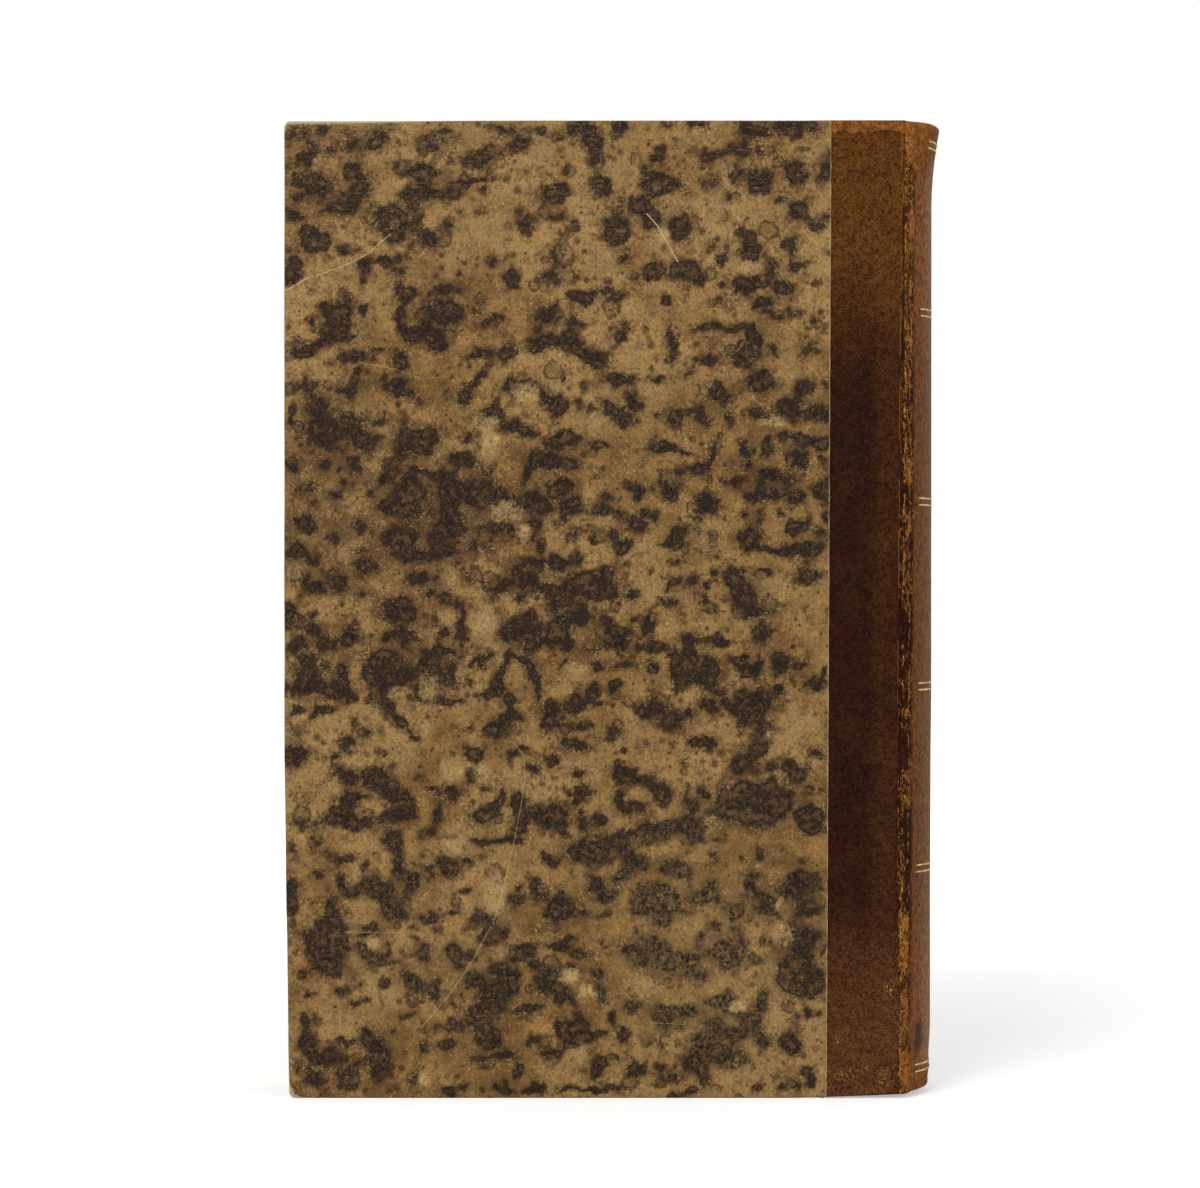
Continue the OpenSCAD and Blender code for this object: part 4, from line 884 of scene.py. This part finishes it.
def cord_material():
    """Twisted hemp, glued down."""
    s = Shader("hemp_twisted")
    lay = ((s.y + s.z * 0.8 + s.x * 0.6) * 4.2).math("SINE") * 0.5 + 0.5
    fibres = s.noise(0.3, 3.0, 0.7, stretch=(1, 3, 1))
    body = s.colour((lay * 0.6 + fibres * 0.5).clamp(), "7c6844", "b8a577")
    return s.finish(Base_Color=body, Roughness=0.9, Normal=s.bump(lay + fibres * 0.4, 0.15, 0.8))


def endband_material():
    """Silk worked in two faded colours over a core."""
    s = Shader("endband_silk")
    stripe = (s.layer("along") * (2 * math.pi / 1.9)).math("SINE").step(-0.25, 0.25)
    strands = (s.layer("along") * (2 * math.pi / 0.32)).math("SINE") * 0.5 + 0.5
    body = s.colour(stripe, "7a3f2a", "c0a878")
    body = s.colour(strands * 0.3, body, "4a3320")
    body = s.colour(s.noise(1.5, 3.0).step(0.5, 0.7) * 0.5, body, "5e4a30")
    return s.finish(Base_Color=body, Roughness=0.6, Normal=s.bump(strands, 0.06, 0.8), Sheen_Weight=0.2)


# Camera, light and floor

def make_camera():
    """Looks square on to the rear cover, from where the photograph was taken."""
    data = bpy.data.cameras.new("view")
    data.lens = VIEW_LENS
    data.sensor_width = SENSOR_W
    data.sensor_fit = "HORIZONTAL"
    data.clip_start = 0.01
    camera = bpy.data.objects.new("view", data)
    place = (FORE_X + VIEW_MIDDLE[0], -LEATHER_Y - VIEW_DISTANCE, VIEW_MIDDLE[1])
    camera.location = [v * MM for v in place]
    camera.rotation_euler = (math.pi / 2, 0, 0)
    bpy.context.scene.collection.objects.link(camera)
    bpy.context.scene.camera = camera


def make_lamp(name, place, watts):
    """A round soft lamp at a place in metres, turned to the middle of the book."""
    data = bpy.data.lights.new(name, "AREA")
    data.shape = "DISK"
    data.size = LAMP_SIZE
    data.energy = watts
    lamp = bpy.data.objects.new(name, data)
    lamp.location = place
    direction = Vector((0, 0, COVER_H * MM / 2)) - Vector(place)
    lamp.rotation_euler = direction.to_track_quat("-Z", "Y").to_euler()
    bpy.context.scene.collection.objects.link(lamp)


def seen_directly(tree):
    """1 for rays that come straight from the camera, which see a white background."""
    return tree.nodes.new("ShaderNodeLightPath").outputs["Is Camera Ray"]


def make_world():
    """White where it shows, and a plain even light elsewhere."""
    world = bpy.data.worlds.new("studio")
    bpy.context.scene.world = world
    world.use_nodes = True
    tree = world.node_tree
    background = tree.nodes["Background"]
    background.inputs["Color"].default_value = (1, 1, 1, 1)
    strength = tree.nodes.new("ShaderNodeMapRange")
    strength.inputs["To Min"].default_value = WORLD_LIGHT
    strength.inputs["To Max"].default_value = 1.0
    tree.links.new(seen_directly(tree), strength.inputs["Value"])
    tree.links.new(strength.outputs[0], background.inputs["Strength"])


def make_floor():
    """A white floor that keeps the book's shadow."""
    corners = [(x * FLOOR_HALF, y * FLOOR_HALF, 0) for x, y in ((-1, -1), (1, -1), (1, 1), (-1, 1))]
    mesh = bpy.data.meshes.new("floor")
    mesh.from_pydata(corners, [], [(0, 1, 2, 3)])
    material = bpy.data.materials.new("floor_white")
    material.use_nodes = True
    tree = material.node_tree
    surface = tree.nodes["Principled BSDF"]
    surface.inputs["Base Color"].default_value = (FLOOR_WHITE, FLOOR_WHITE, FLOOR_WHITE, 1)
    surface.inputs["Roughness"].default_value = 0.9
    surface.inputs["Specular IOR Level"].default_value = 0.0
    # For the camera it glows up to white, the more the further it lies from the book, in metres
    place = tree.nodes.new("ShaderNodeTexCoord")
    distance = tree.nodes.new("ShaderNodeVectorMath")
    distance.operation = "LENGTH"
    tree.links.new(place.outputs["Object"], distance.inputs[0])
    glow = tree.nodes.new("ShaderNodeMapRange")
    for key, value in {"From Min": 0.15, "From Max": 0.7, "To Min": 0.42, "To Max": 0.8}.items():
        glow.inputs[key].default_value = value
    tree.links.new(distance.outputs["Value"], glow.inputs["Value"])
    tree.links.new(glow.outputs[0], surface.inputs["Emission Color"])
    tree.links.new(seen_directly(tree), surface.inputs["Emission Strength"])
    mesh.materials.append(material)
    floor = bpy.data.objects.new("floor", mesh)
    bpy.context.scene.collection.objects.link(floor)


# Pieces

CREASE_LEAN = 1.7
CUT_SLANT = (LEATHER_SHOW_TAIL - LEATHER_SHOW_HEAD) / COVER_H


def paper_edge_x(z):
    """Where the marbled paper's cut edge lies on the leather."""
    return JOINT_X - LEATHER_SHOW_TAIL + CUT_SLANT * z


def fore_edge_in(z):
    """How far the fore-edge stands in from the cover's full width: rounded corners, cut a little askew."""
    corner = 1.4
    from_end = np.minimum(z, COVER_H - z)
    rounding = corner - np.sqrt(np.maximum(corner**2 - np.maximum(corner - from_end, 0) ** 2, 0))
    askew = FORE_IN * np.maximum(0, 1 - z / FORE_IN_H)
    return rounding + askew + 0.1 * grain(z / 9, z * 0, 5)


def head_drop(u, z):
    """The head edge falls a little towards the fore-edge."""
    return 0.2 * smooth(u, 62, 0) * smooth(z, COVER_H - 40, COVER_H)


def tail_up(x):
    """How far the covers' tail is worn up, more and more towards the joint."""
    return TAIL_WEAR * np.clip((x - BOARD_HIGH[0]) / TAIL_WEAR_W + 1, 0, 1)


def make_marbled_paper(side):
    """The paper over board and edges, one closed shell whose outside carries the figure."""
    edge_r = 0.55
    arc = np.linspace(0, math.pi / 2, 5)
    step = 0.62
    tail_rows = [(float(edge_r * (1 - math.sin(a))), float(edge_r * (1 - math.cos(a)))) for a in arc[::-1]]
    middle = np.arange(edge_r + step, COVER_H - edge_r - step / 2, step)
    rows = tail_rows + [(z, 0.0) for z in middle] + [(COVER_H - z, inset) for z, inset in tail_rows[::-1]]
    z = np.array([row[0] for row in rows])[:, None]
    inset = np.array([row[1] for row in rows])[:, None]
    face_columns = 204
    t = np.linspace(0, 1, face_columns)[None, :]
    fore = FORE_X + fore_edge_in(z) + inset
    cut = paper_edge_x(z) + 0.1 * (grain(z / 3, z * 0, 8) - 0.5)
    face_x = mix(fore + edge_r, cut, t)
    climb = LEATHER_T - 0.05
    climb_from, climb_to = JOINT_X - 22.7, JOINT_X - 16.2
    outside = LEATHER_Y - LEATHER_T + MARBLED_T
    swell = 0.06 * (cloud(face_x, z + 0 * face_x, 9.0, 3) - 0.5)
    face_y = outside + swell + climb * smooth(face_x, climb_from, climb_to) - inset

    def column(x, y):
        """One line of points from tail to head."""
        return np.stack([x + 0 * z, y + 0 * z, z + 0 * x], -1)

    inner = TURN_IN_Y + inset
    before = [column(mix(cut, fore + edge_r, k / 5), inner) for k in range(6)]
    before += [column(fore + edge_r * (1 - math.sin(a)), inner + edge_r * (1 - math.cos(a))) for a in arc[1:]]
    first_y = face_y[:, :1]
    before += [
        column(fore + edge_r * (1 - math.cos(a)), first_y - edge_r * (1 - math.sin(a))) for a in arc[:-1]
    ]
    face = np.stack([face_x, face_y, z + 0 * face_x], -1)
    last_y = face_y[:, -1:]
    after = [column(cut + 0.03, last_y - 0.06), column(cut + 0.04, last_y - 0.3), column(cut, inner + 0.8)]
    before, after = (np.stack([part[:, 0] for part in parts], 1) for parts in (before, after))
    sheet = np.concatenate([before, face, after], 1)
    u = sheet[..., 0] - FORE_X
    square = sheet[..., 2]
    height = square + tail_up(sheet[..., 0]) * smooth(square, 30, 0) - head_drop(u, square)
    sheet[..., 2] = height
    count_rows, columns = sheet.shape[:2]
    blotches = REAR_BLOTCHES if side == "rear" else scattered_blotches()
    rubs = REAR_RUBBED if side == "rear" else scattered_rubs()
    spots = small_spots(5 if side == "rear" else 6)
    ink, stain = figure(u, height, blotches + spots, 11 if side == "rear" else 111)
    rubbed = rubbing(u, height, rubs)
    above_tail = height - tail_up(sheet[..., 0])
    below_head = COVER_H - head_drop(u, height) - height
    to_edge = np.minimum(np.minimum(u - fore_edge_in(height), above_tail), below_head)
    if side == "rear":
        stain = stain + 0.5 * smooth(np.hypot((u - 26) / 48, (height - 128) / 40), 1.0, 0.2)
        stain = stain + 0.15 * smooth(np.hypot((u - 15) / 45, (height - 205) / 25), 1.0, 0.2)
        rubbed = rubbed + 0.3 * smooth(np.hypot((u - 92) / 35, (height - 35) / 45), 1.1, 0.2)
        rubbed = rubbed + 0.2 * smooth(np.hypot((u - 30) / 40, (height - 30) / 40), 1.1, 0.2)
    head_left = smooth(u, 45, 5) * smooth(height, COVER_H - 3.5, COVER_H - 0.5)
    tail_corner = smooth(np.hypot(u - 1.5, height - 0.5), 4, 0.5)
    worn = 0.62 * smooth(to_edge, 0.7, 0.0) + 0.55 * head_left + 0.7 * tail_corner
    sheet[..., 1] = -np.minimum(sheet[..., 1], PAPER_HIGH[1])
    faces = quads(count_rows, columns, around=True)
    tail_loop = list(range(columns))
    head_loop = [(count_rows - 1) * columns + k for k in range(columns)]
    faces += [tail_loop[::-1], head_loop]
    points, faces = to_side(sheet.reshape(-1, 3), faces, side)
    layers = {"ink": ink, "stain": stain, "rubbed": rubbed, "worn": worn}
    piece = make_piece(f"{side}_paper_side", points, faces, marbled_paper_material(side), layers)
    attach(piece, f"{side}_cover")
    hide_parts(f"{side}_marbled_paper")


def flare(z):
    """How far the leather stands out at the head."""
    radius = (FLARE_H**2 + HEAD_FLARE**2) / (2 * HEAD_FLARE)
    rise = np.clip(z - (COVER_H - FLARE_H), 0, FLARE_H)
    return radius - np.sqrt(radius**2 - rise**2)


def spine_place(across):
    """Base point and inward direction, in X and Y, at a distance round from the joint (front side)."""
    angle = SPINE_HALF_ANGLE - np.maximum(across, 0) / SPINE_R
    on_spine = np.stack([SPINE_X + SPINE_R * np.cos(angle), SPINE_R * np.sin(angle)], -1)
    inward_spine = -np.stack([np.cos(angle), np.sin(angle)], -1)
    on_board = np.stack([JOINT_X + across, LEATHER_Y + 0 * across], -1)
    inward_board = np.stack([0 * across, -1 + 0 * across], -1)
    past = (across > 0)[..., None]
    turned = smooth(across, -0.9, 0.9)[..., None]
    inward = mix(inward_board, inward_spine, turned)
    inward /= np.linalg.norm(inward, axis=-1, keepdims=True)
    return np.where(past, on_spine, on_board), inward


def from_crease(across, z):
    """Distance past the crease, which leans from the joint onto the board towards the tail."""
    return across + CREASE_LEAN * (1 - z / COVER_H)


def drawn_in(across, z):
    """How far the worn leather has sunk on to the leaves towards the tail."""
    sunk = 0.3 * smooth(z, 110, 40) + 0.35 * smooth(z, 16, 8) - 0.2 * smooth(z, 8, 4.5)
    return sunk * smooth(across, 1, 5)


def leather_relief(across, z):
    """Height of the leather's surface over its plain form: crease, ridge and cracks at the joint."""
    across = from_crease(across, z)
    crease = -0.34 * np.exp(-((across / 0.36) ** 2)) * smooth(z, COVER_H - 0.5, COVER_H - 5)
    ridge = 0.12 * smooth(across, 0.3, 1.3) * smooth(across, 4.2, 2.4)
    cracking = smooth(across, 0.3, 0.9) * smooth(across, 3.6, 2.6)
    cracks = -0.22 * cracking * smooth(grain(across / 0.5, z / 3.5, 31), 0.62, 0.85)
    wrinkles = 0.07 * smooth(across, 0.5, 3) * (grain(across / 0.7, z / 11, 37) - 0.5)
    return crease + ridge + cracks + wrinkles


def make_calf(side):
    """Leather from the board's paper, over the joint, to the middle of the spine, turned in at both ends."""
    plain_to, bent_to = -1.2, 4.0
    board = np.linspace(-LEATHER_SHOW_TAIL - 1.2, plain_to, 36)[:-1]
    joint = np.arange(plain_to, bent_to, 0.2)
    spine = np.linspace(bent_to, SPINE_HALF_ARC, 26)
    wall_step = 0.7
    calf_t, pared = 0.3, 0.35
    quarter = np.linspace(0, math.pi / 2, 8)

    def end_rows(across, at_head):
        """Depth inward and height of one end's rows, from outside over the edge to the inside."""
        on_spine = smooth(across, -0.4, 2.2) if at_head else smooth(across, -0.4, 8.0)
        by_joint = 0.5 if at_head else mix(0.5, 0.95, smooth(across, -8, 0))
        radius = mix(by_joint, 1.2 if at_head else 4.0, on_spine)
        rounding_h = mix(by_joint, 1.2 if at_head else 5.2, on_spine)
        lift = 0 * on_spine if at_head else tail_up(JOINT_X + across) + 0.5 * smooth(across, 2.5, 9)
        lip = mix(LEATHER_Y - TURN_IN_Y, 3.0 if at_head else 4.3, on_spine)
        back = mix(LEATHER_Y - TURN_IN_Y, 1.15, on_spine)
        near_joint = smooth(np.abs(across - 0.4), 2.6, 1.4)
        depth = mix(TURN_IN, 2.4, near_joint)
        rows = [(radius * (1 - math.cos(a)), rounding_h * (1 - math.sin(a)) + lift) for a in quarter]
        rows += [(lip - 0.2, lift), (lip - 0.06, lift + 0.06), (lip, lift + 0.2), (lip, lift + 0.35)]
        rows += [(mix(lip, back, k), lift + 0.4) for k in (0.5, 1.0)]
        rows += [(back, mix(lift + 0.55, depth, k)) for k in (0.0, 0.1, 0.3, 0.6, 1.0)]
        return rows

    def grid_of(across):
        """Points of the leather in rows from the tail's turn-in to the head's."""
        base, inward = spine_place(across)
        tail = end_rows(across, False)
        head = end_rows(across, True)
        wall_low, wall_high = tail[0][1], COVER_H - head[0][1]
        shares = np.linspace(0, 1, int(COVER_H / wall_step))
        wall = [(0 * across, mix(wall_low, wall_high, share)) for share in shares]
        rows = tail[::-1] + wall[1:-1] + [(a, COVER_H - z) for a, z in head]
        depth = np.array([row[0] + 0 * across for row in rows])
        z = np.array([row[1] + 0 * across for row in rows])
        flared = flare(z) * smooth(across, 0.0, 9.0)
        out = flared + leather_relief(across[None, :] + 0 * z, z) - drawn_in(across, z)
        outside = smooth(depth, 0.9, 0.1)
        flat = base[None] + inward[None] * (depth - out * outside - flared * (1 - outside) * 0.9)[..., None]
        return np.concatenate([flat, z[..., None]], -1)

    # The board's columns follow the slanting cut edge, which the paper laps over
    plain = np.concatenate([board, joint, spine])
    points = grid_of(plain)
    z = points[..., 2]
    to_cut = (points[..., 0] - (JOINT_X + plain_to)) / LEATHER_SHOW_TAIL
    lean = np.where(plain[None, :] < plain_to, CUT_SLANT * z * np.clip(-to_cut, 0, 1), 0)
    points[..., 0] += lean
    across = plain[None, :] + lean
    # Thin where the paper covers it
    under = smooth(points[..., 0], paper_edge_x(z) + 0.05, paper_edge_x(z) - 0.4)
    outer_face = points[..., 1] > LEATHER_Y - 0.4
    points[..., 1] -= np.where(outer_face, pared * under, 0)
    # Wear, darkening and flakes
    height = z
    across = from_crease(across, z)
    head_band = smooth(height + 1.2 * (cloud(across, height, 2.0, 61) - 0.5), COVER_H - 3.1, COVER_H - 2.0)
    cap_worn = smooth(across, -0.6, 0.6) * smooth(height, COVER_H - 15, COVER_H - 6)
    cap_worn *= smooth(across, 12, 5) * 0.5 + 0.5
    reach = mix(2.5, 3.6, np.clip(height / 110, 0, 1))
    on_ridge = smooth(across, 0.05, 0.6) * smooth(across, reach + 0.2, reach - 0.8)
    along_ridge = cloud(across * 0.4, height, 16.0, 71)
    strong = smooth(height, 150, 205) + smooth(height, 78, 50) * 0.85
    ridge_worn = on_ridge * (0.04 + 0.34 * np.clip(strong, 0, 1) + (along_ridge - 0.5))
    frayed_across = across + 2.2 * (cloud(across, height, 1.6, 63) - 0.5)
    frayed_height = height + 6.0 * (cloud(across, height, 3.0, 67) - 0.5)
    for *place, strength in RIDGE_WORN:
        block = smooth(from_middle(frayed_across, frayed_height, *place), 1.35, 0.4)
        ridge_worn = np.maximum(ridge_worn, strength * block)
    tail_cap = smooth(across, 0.5, 2.5) * smooth(height, 9, 3) * 0.8
    tail_line = smooth(height, 1.0, 0.3) * 0.5
    worn = np.maximum.reduce([0.9 * head_band, 0.85 * cap_worn, ridge_worn, tail_cap, tail_line])
    dark = smooth(height, 196, 158) * smooth(height, 12, 52)
    dark = dark * (1 - 0.3 * smooth(across, -8.5, -4.5) * smooth(across, -0.4, -1.2))
    dark = dark + 0.9 * smooth(np.hypot((across + 8.0) / 2.6, (height - 153) / 2.4), 1.1, 0.3)
    for place in SPINE_BRUISED:
        dark = dark + 1.9 * smooth(from_middle(frayed_across, frayed_height, *place), 1.3, 0.2)
    flaked = np.zeros_like(height)
    for *place, strength in FLAKED:
        flaked = np.maximum(flaked, strength * smooth(from_middle(across, height, *place), 1.3, 0.4))
    points[..., 1] *= -1
    solid, faces = thick_sheet(points, calf_t)
    solid[:, 1] = np.clip(solid[:, 1], -PAPER_HIGH[1], PAPER_HIGH[1])
    solid[:, 2] = np.clip(solid[:, 2], 0, COVER_H)
    layers = {
        key: np.tile(np.broadcast_to(values, z.shape).ravel(), 2)
        for key, values in {"across": across, "worn": worn, "dark": dark, "flaked": flaked}.items()
    }
    solid, faces = to_side(solid, faces, side)
    piece = make_piece(f"{side}_calf", solid, faces, calf_material(side), layers)
    sign = -1 if side == "rear" else 1
    start = ((JOINT_X - 1.0) * MM, sign * LEATHER_Y * MM, 0)
    end = ((JOINT_X + 1.0) * MM, sign * LEATHER_Y * MM, 0)
    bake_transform(piece)
    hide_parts(f"{side}_leather_side", "spine_leather")


# Gilt lines: the pairs' heights above the tail, and how much of the spine each line leaves bare at
# its ends, which is more near the head
RULE_TAIL = 6.4
RULE_HEAD = 4.9
RULE_PLACES = (0, 0.216, 0.413, 0.613, 0.818, 1)
RULE_PITCH = 1.5
RULE_W = 0.38
RULE_BARE = 5.5
RULE_BARE_MORE = 2.2


def make_gilt_lines():
    """Twelve gilt lines across the spine, a hair proud of the leather."""
    proud, sunk = 0.09, 0.1
    round_points = 60
    points, faces = [], []
    for place in RULE_PLACES:
        middle = RULE_TAIL + place * (COVER_H - RULE_HEAD - RULE_TAIL)
        for side in (-1, 1):
            t = np.linspace(-1, 1, round_points)
            wobble = 0.12 * (grain(t * 3 + middle, t * 0, 83) - 0.5)
            z = middle + side * RULE_PITCH / 2 + wobble
            bare = RULE_BARE + RULE_BARE_MORE * smooth(middle, 160, 216)
            reach = SPINE_HALF_ARC - bare + CREASE_LEAN * (1 - middle / COVER_H)
            across = SPINE_HALF_ARC - np.abs(t) * reach
            base, inward = spine_place(across)
            out = flare(z) * smooth(across, 0.0, 9.0) + leather_relief(across, z)
            out = out - drawn_in(across, z)
            first = len(points) * 4 * round_points
            ring = []
            for lift, shift in ((proud, -1), (proud, 1), (-sunk, 1), (-sunk, -1)):
                flat = base - inward * (out + lift)[:, None]
                flat[:, 1] *= np.where(t < 0, -1, 1)
                ring.append(np.column_stack([flat, z + shift * RULE_W / 2]))
            loop = np.stack(ring, 1)
            points.append(loop.reshape(-1, 3))
            last = first + 4 * (round_points - 1)
            faces += quads(round_points, 4, first, around=True)
            faces += [[first + k for k in (0, 1, 2, 3)], [last + k for k in (3, 2, 1, 0)]]
    piece = make_piece("gilt_lines", np.vstack(points), [f[::-1] for f in faces], gold_material())
    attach(piece, "book_block")
    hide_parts("gilt_rules")


def make_leaves():
    """The text block, each face of it cut across the leaves, fanned out at the shoulders."""
    leaves = 150
    v = np.linspace(-1, 1, leaves)
    w = np.concatenate(
        [np.linspace(0, 0.04, 5), np.linspace(0.04, 0.96, 46)[1:], np.linspace(0.96, 1, 7)[1:]]
    )
    rng = np.random.default_rng(17)
    uneven = 0.16 * (rng.random(leaves) - 0.5) + 0.35 * (grain(v * 7, v * 0, 19) - 0.5)

    def fan(x):
        """How much the leaves spread towards the backed spine."""
        return 1 + 0.075 * smooth(x, JOINT_X + 0.05, JOINT_X + 1.2)

    y_flat = BLOCK_Y * v
    hollow = np.sqrt(BLOCK_R**2 - y_flat**2) - math.sqrt(BLOCK_R**2 - BLOCK_Y**2)
    fore = BLOCK_FORE_X + hollow + 0.25 * uneven
    spine = SPINE_X + np.sqrt((BLOCK_R - 0.05) ** 2 - (y_flat * 1.075) ** 2)
    x = mix(fore[None, :], spine[None, :], w[:, None])
    y = y_flat[None, :] * fan(x)
    rows, columns = x.shape
    points, faces = [], []

    def add(grid, flip):
        """Adds a grid of points with its faces."""
        first = sum(len(p) for p in points)
        points.append(grid.reshape(-1, 3))
        faces.extend(quads(grid.shape[0], grid.shape[1], first, flip=flip))

    proud = np.clip(0.3 * uneven[None, :] * smooth(w, 0.0, 0.02)[:, None], -0.1, 0.1)
    top = BLOCK_HIGH[2] - 0.1 + proud
    low = BLOCK_LOW[2] + 0.1 - proud
    add(np.stack([x, y, top], -1), False)
    add(np.stack([x, y, low], -1), True)
    share = np.linspace(0, 1, 60)[:, None]

    def wall(ix, iy, flip):
        """Adds the upright face over a line of the block's grid."""
        wall_x, wall_y = x[ix, iy][None, :], y[ix, iy][None, :]
        z = mix(low[ix, iy][None, :], top[ix, iy][None, :], share)
        add(np.stack([wall_x + 0 * z, wall_y + 0 * z, z], -1), flip)

    along = np.arange(columns)
    down = np.arange(rows)
    wall(0 * along, along, False)
    wall(0 * along + rows - 1, along, True)
    wall(down, 0 * down, True)
    wall(down, 0 * down + columns - 1, False)
    piece = make_piece("leaves", np.vstack(points), faces, leaf_edge_material())
    weld(piece)
    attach(piece, "book_block")
    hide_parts("text_block")


def weld(piece):
    """Joins points that lie together and turns every face outward."""
    made = bmesh.new()
    made.from_mesh(piece.data)
    bmesh.ops.remove_doubles(made, verts=made.verts, dist=1e-6)
    bmesh.ops.recalc_face_normals(made, faces=made.faces)
    made.to_mesh(piece.data)
    made.free()


def make_endband(end):
    """A bead worked over a core, following the spine's curve, with its tab behind it."""
    head = end == "head"
    bead_r, lift, sunk = (0.68, 0.68, 0) if head else (0.5, 0.1, 0.35)
    tab_t, tab_h = 0.22, 9.0
    around, along = 12, 150
    half = math.acos((SHOULDER_X + 0.1 - SPINE_X) / (BLOCK_R - bead_r)) - 0.01
    angle = np.linspace(-half, half, along)
    length = angle * BLOCK_R
    turn = np.linspace(0, 2 * math.pi, around, endpoint=False)
    thread = 1 - 0.07 * (0.5 + 0.5 * np.sin(length[:, None] * 2 * math.pi / 0.64 + turn[None, :]))
    r = BLOCK_R - bead_r + 0.22 - sunk + bead_r * thread * np.cos(turn)[None, :]
    rise = lift + bead_r * thread * np.sin(turn)[None, :]
    sign = 1 if head else -1
    edge_z = BLOCK_HIGH[2] if head else BLOCK_LOW[2]
    points = np.stack(
        [SPINE_X + r * np.cos(angle)[:, None], r * np.sin(angle)[:, None], edge_z + sign * rise], -1
    )
    faces = quads(along, around, around=True, flip=not head)
    ends = [list(range(around)), [(along - 1) * around + k for k in range(around)][::-1]]
    faces += ends if not head else [e[::-1] for e in ends]
    values = np.repeat(length, around)
    corners = [(0.02, -tab_h), (0.02 + tab_t, -tab_h), (0.02 + tab_t, bead_r), (0.02, bead_r)]
    tab = np.stack([
        np.stack([SPINE_X + (BLOCK_R + dr) * np.cos(angle), (BLOCK_R + dr) * np.sin(angle),
                  edge_z + sign * dz + 0 * angle], -1)
        for dr, dz in corners
    ], 1)
    first = around * along
    faces += quads(along, 4, first, around=True, flip=head)
    caps = [[first + k for k in range(4)], [first + 4 * (along - 1) + k for k in range(4)][::-1]]
    faces += caps if head else [c[::-1] for c in caps]
    values = np.concatenate([values, np.repeat(length, 4)])
    all_points = np.vstack([points.reshape(-1, 3), tab.reshape(-1, 3)])
    piece = make_piece(f"{end}_band", all_points, faces, endband_material(), {"along": values})
    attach(piece, "book_block")
    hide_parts(f"{end}_endband")


def make_paper_joint(side):
    """Endpaper carried down into the joint, over the board's edge and over the shoulder of the leaves."""
    paper_t, clear = 0.06, 0.03
    over_board = node_box("front_pastedown")[0][1] - 0.02
    over_flyleaf = FLYLEAF_HIGH[1] + 0.02 + paper_t
    down_to = LEATHER_Y - LEATHER_T - 0.1
    z = np.linspace(BLOCK_LOW[2] + 0.3, BLOCK_HIGH[2] - 0.3, 40)
    for name, body, wall_x, level, reaches in (
        ("paper_joint", f"{side}_cover", BOARD_HIGH[0] + clear, over_board, (2.9, 1.45, 0.58)),
        ("shoulder_paper", "book_block", SHOULDER_X - clear - paper_t, over_flyleaf, (0.1,)),
    ):
        flat = [(wall_x - reach, level) for reach in reaches]
        bend = [(wall_x - 0.05, level + 0.01), (wall_x - 0.01, level + 0.05), (wall_x, level + 0.12)]
        wall = [(wall_x, mix(level + 0.12, down_to, share)) for share in (0.3, 0.6, 1)]
        x, y = np.array(flat + bend + wall).T
        grid = np.stack(np.broadcast_arrays(x[None, :], -y[None, :], z[:, None]), -1)
        solid, faces = thick_sheet(grid, paper_t)
        solid, faces = to_side(solid, faces, side)
        piece = make_piece(f"{side}_{name}", solid, faces, PAPER)
        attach(piece, body)


def dress(material, *names):
    """Gives CAD nodes a material."""
    for name in names:
        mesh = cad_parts[name].data
        mesh.materials.clear()
        mesh.materials.append(material)


make_camera()
make_world()
make_floor()
make_lamp("key", (-0.7, -1.5, 1.1), 20)
make_lamp("fill", (1.3, -1.0, 0.7), 6)

PAPER = endpaper_material()
CORD = cord_material()
for side in ("rear", "front"):
    make_marbled_paper(side)
    make_calf(side)
    make_paper_joint(side)
    dress(PAPER, f"{side}_flyleaf", f"{side}_pastedown")
    dress(CORD, *[f"{side}_slip_{i}" for i in range(1, 6)])
dress(millboard_material(), "front_board", "rear_board")
dress(CORD, *[f"sewing_cord_{i}" for i in range(1, 6)])
dress(linen_material(), "spine_linen")
dress(lining_paper_material(), "spine_hollow")
make_gilt_lines()
make_leaves()
make_endband("head")
make_endband("tail")

bpy.context.scene.view_settings.view_transform = "Standard"
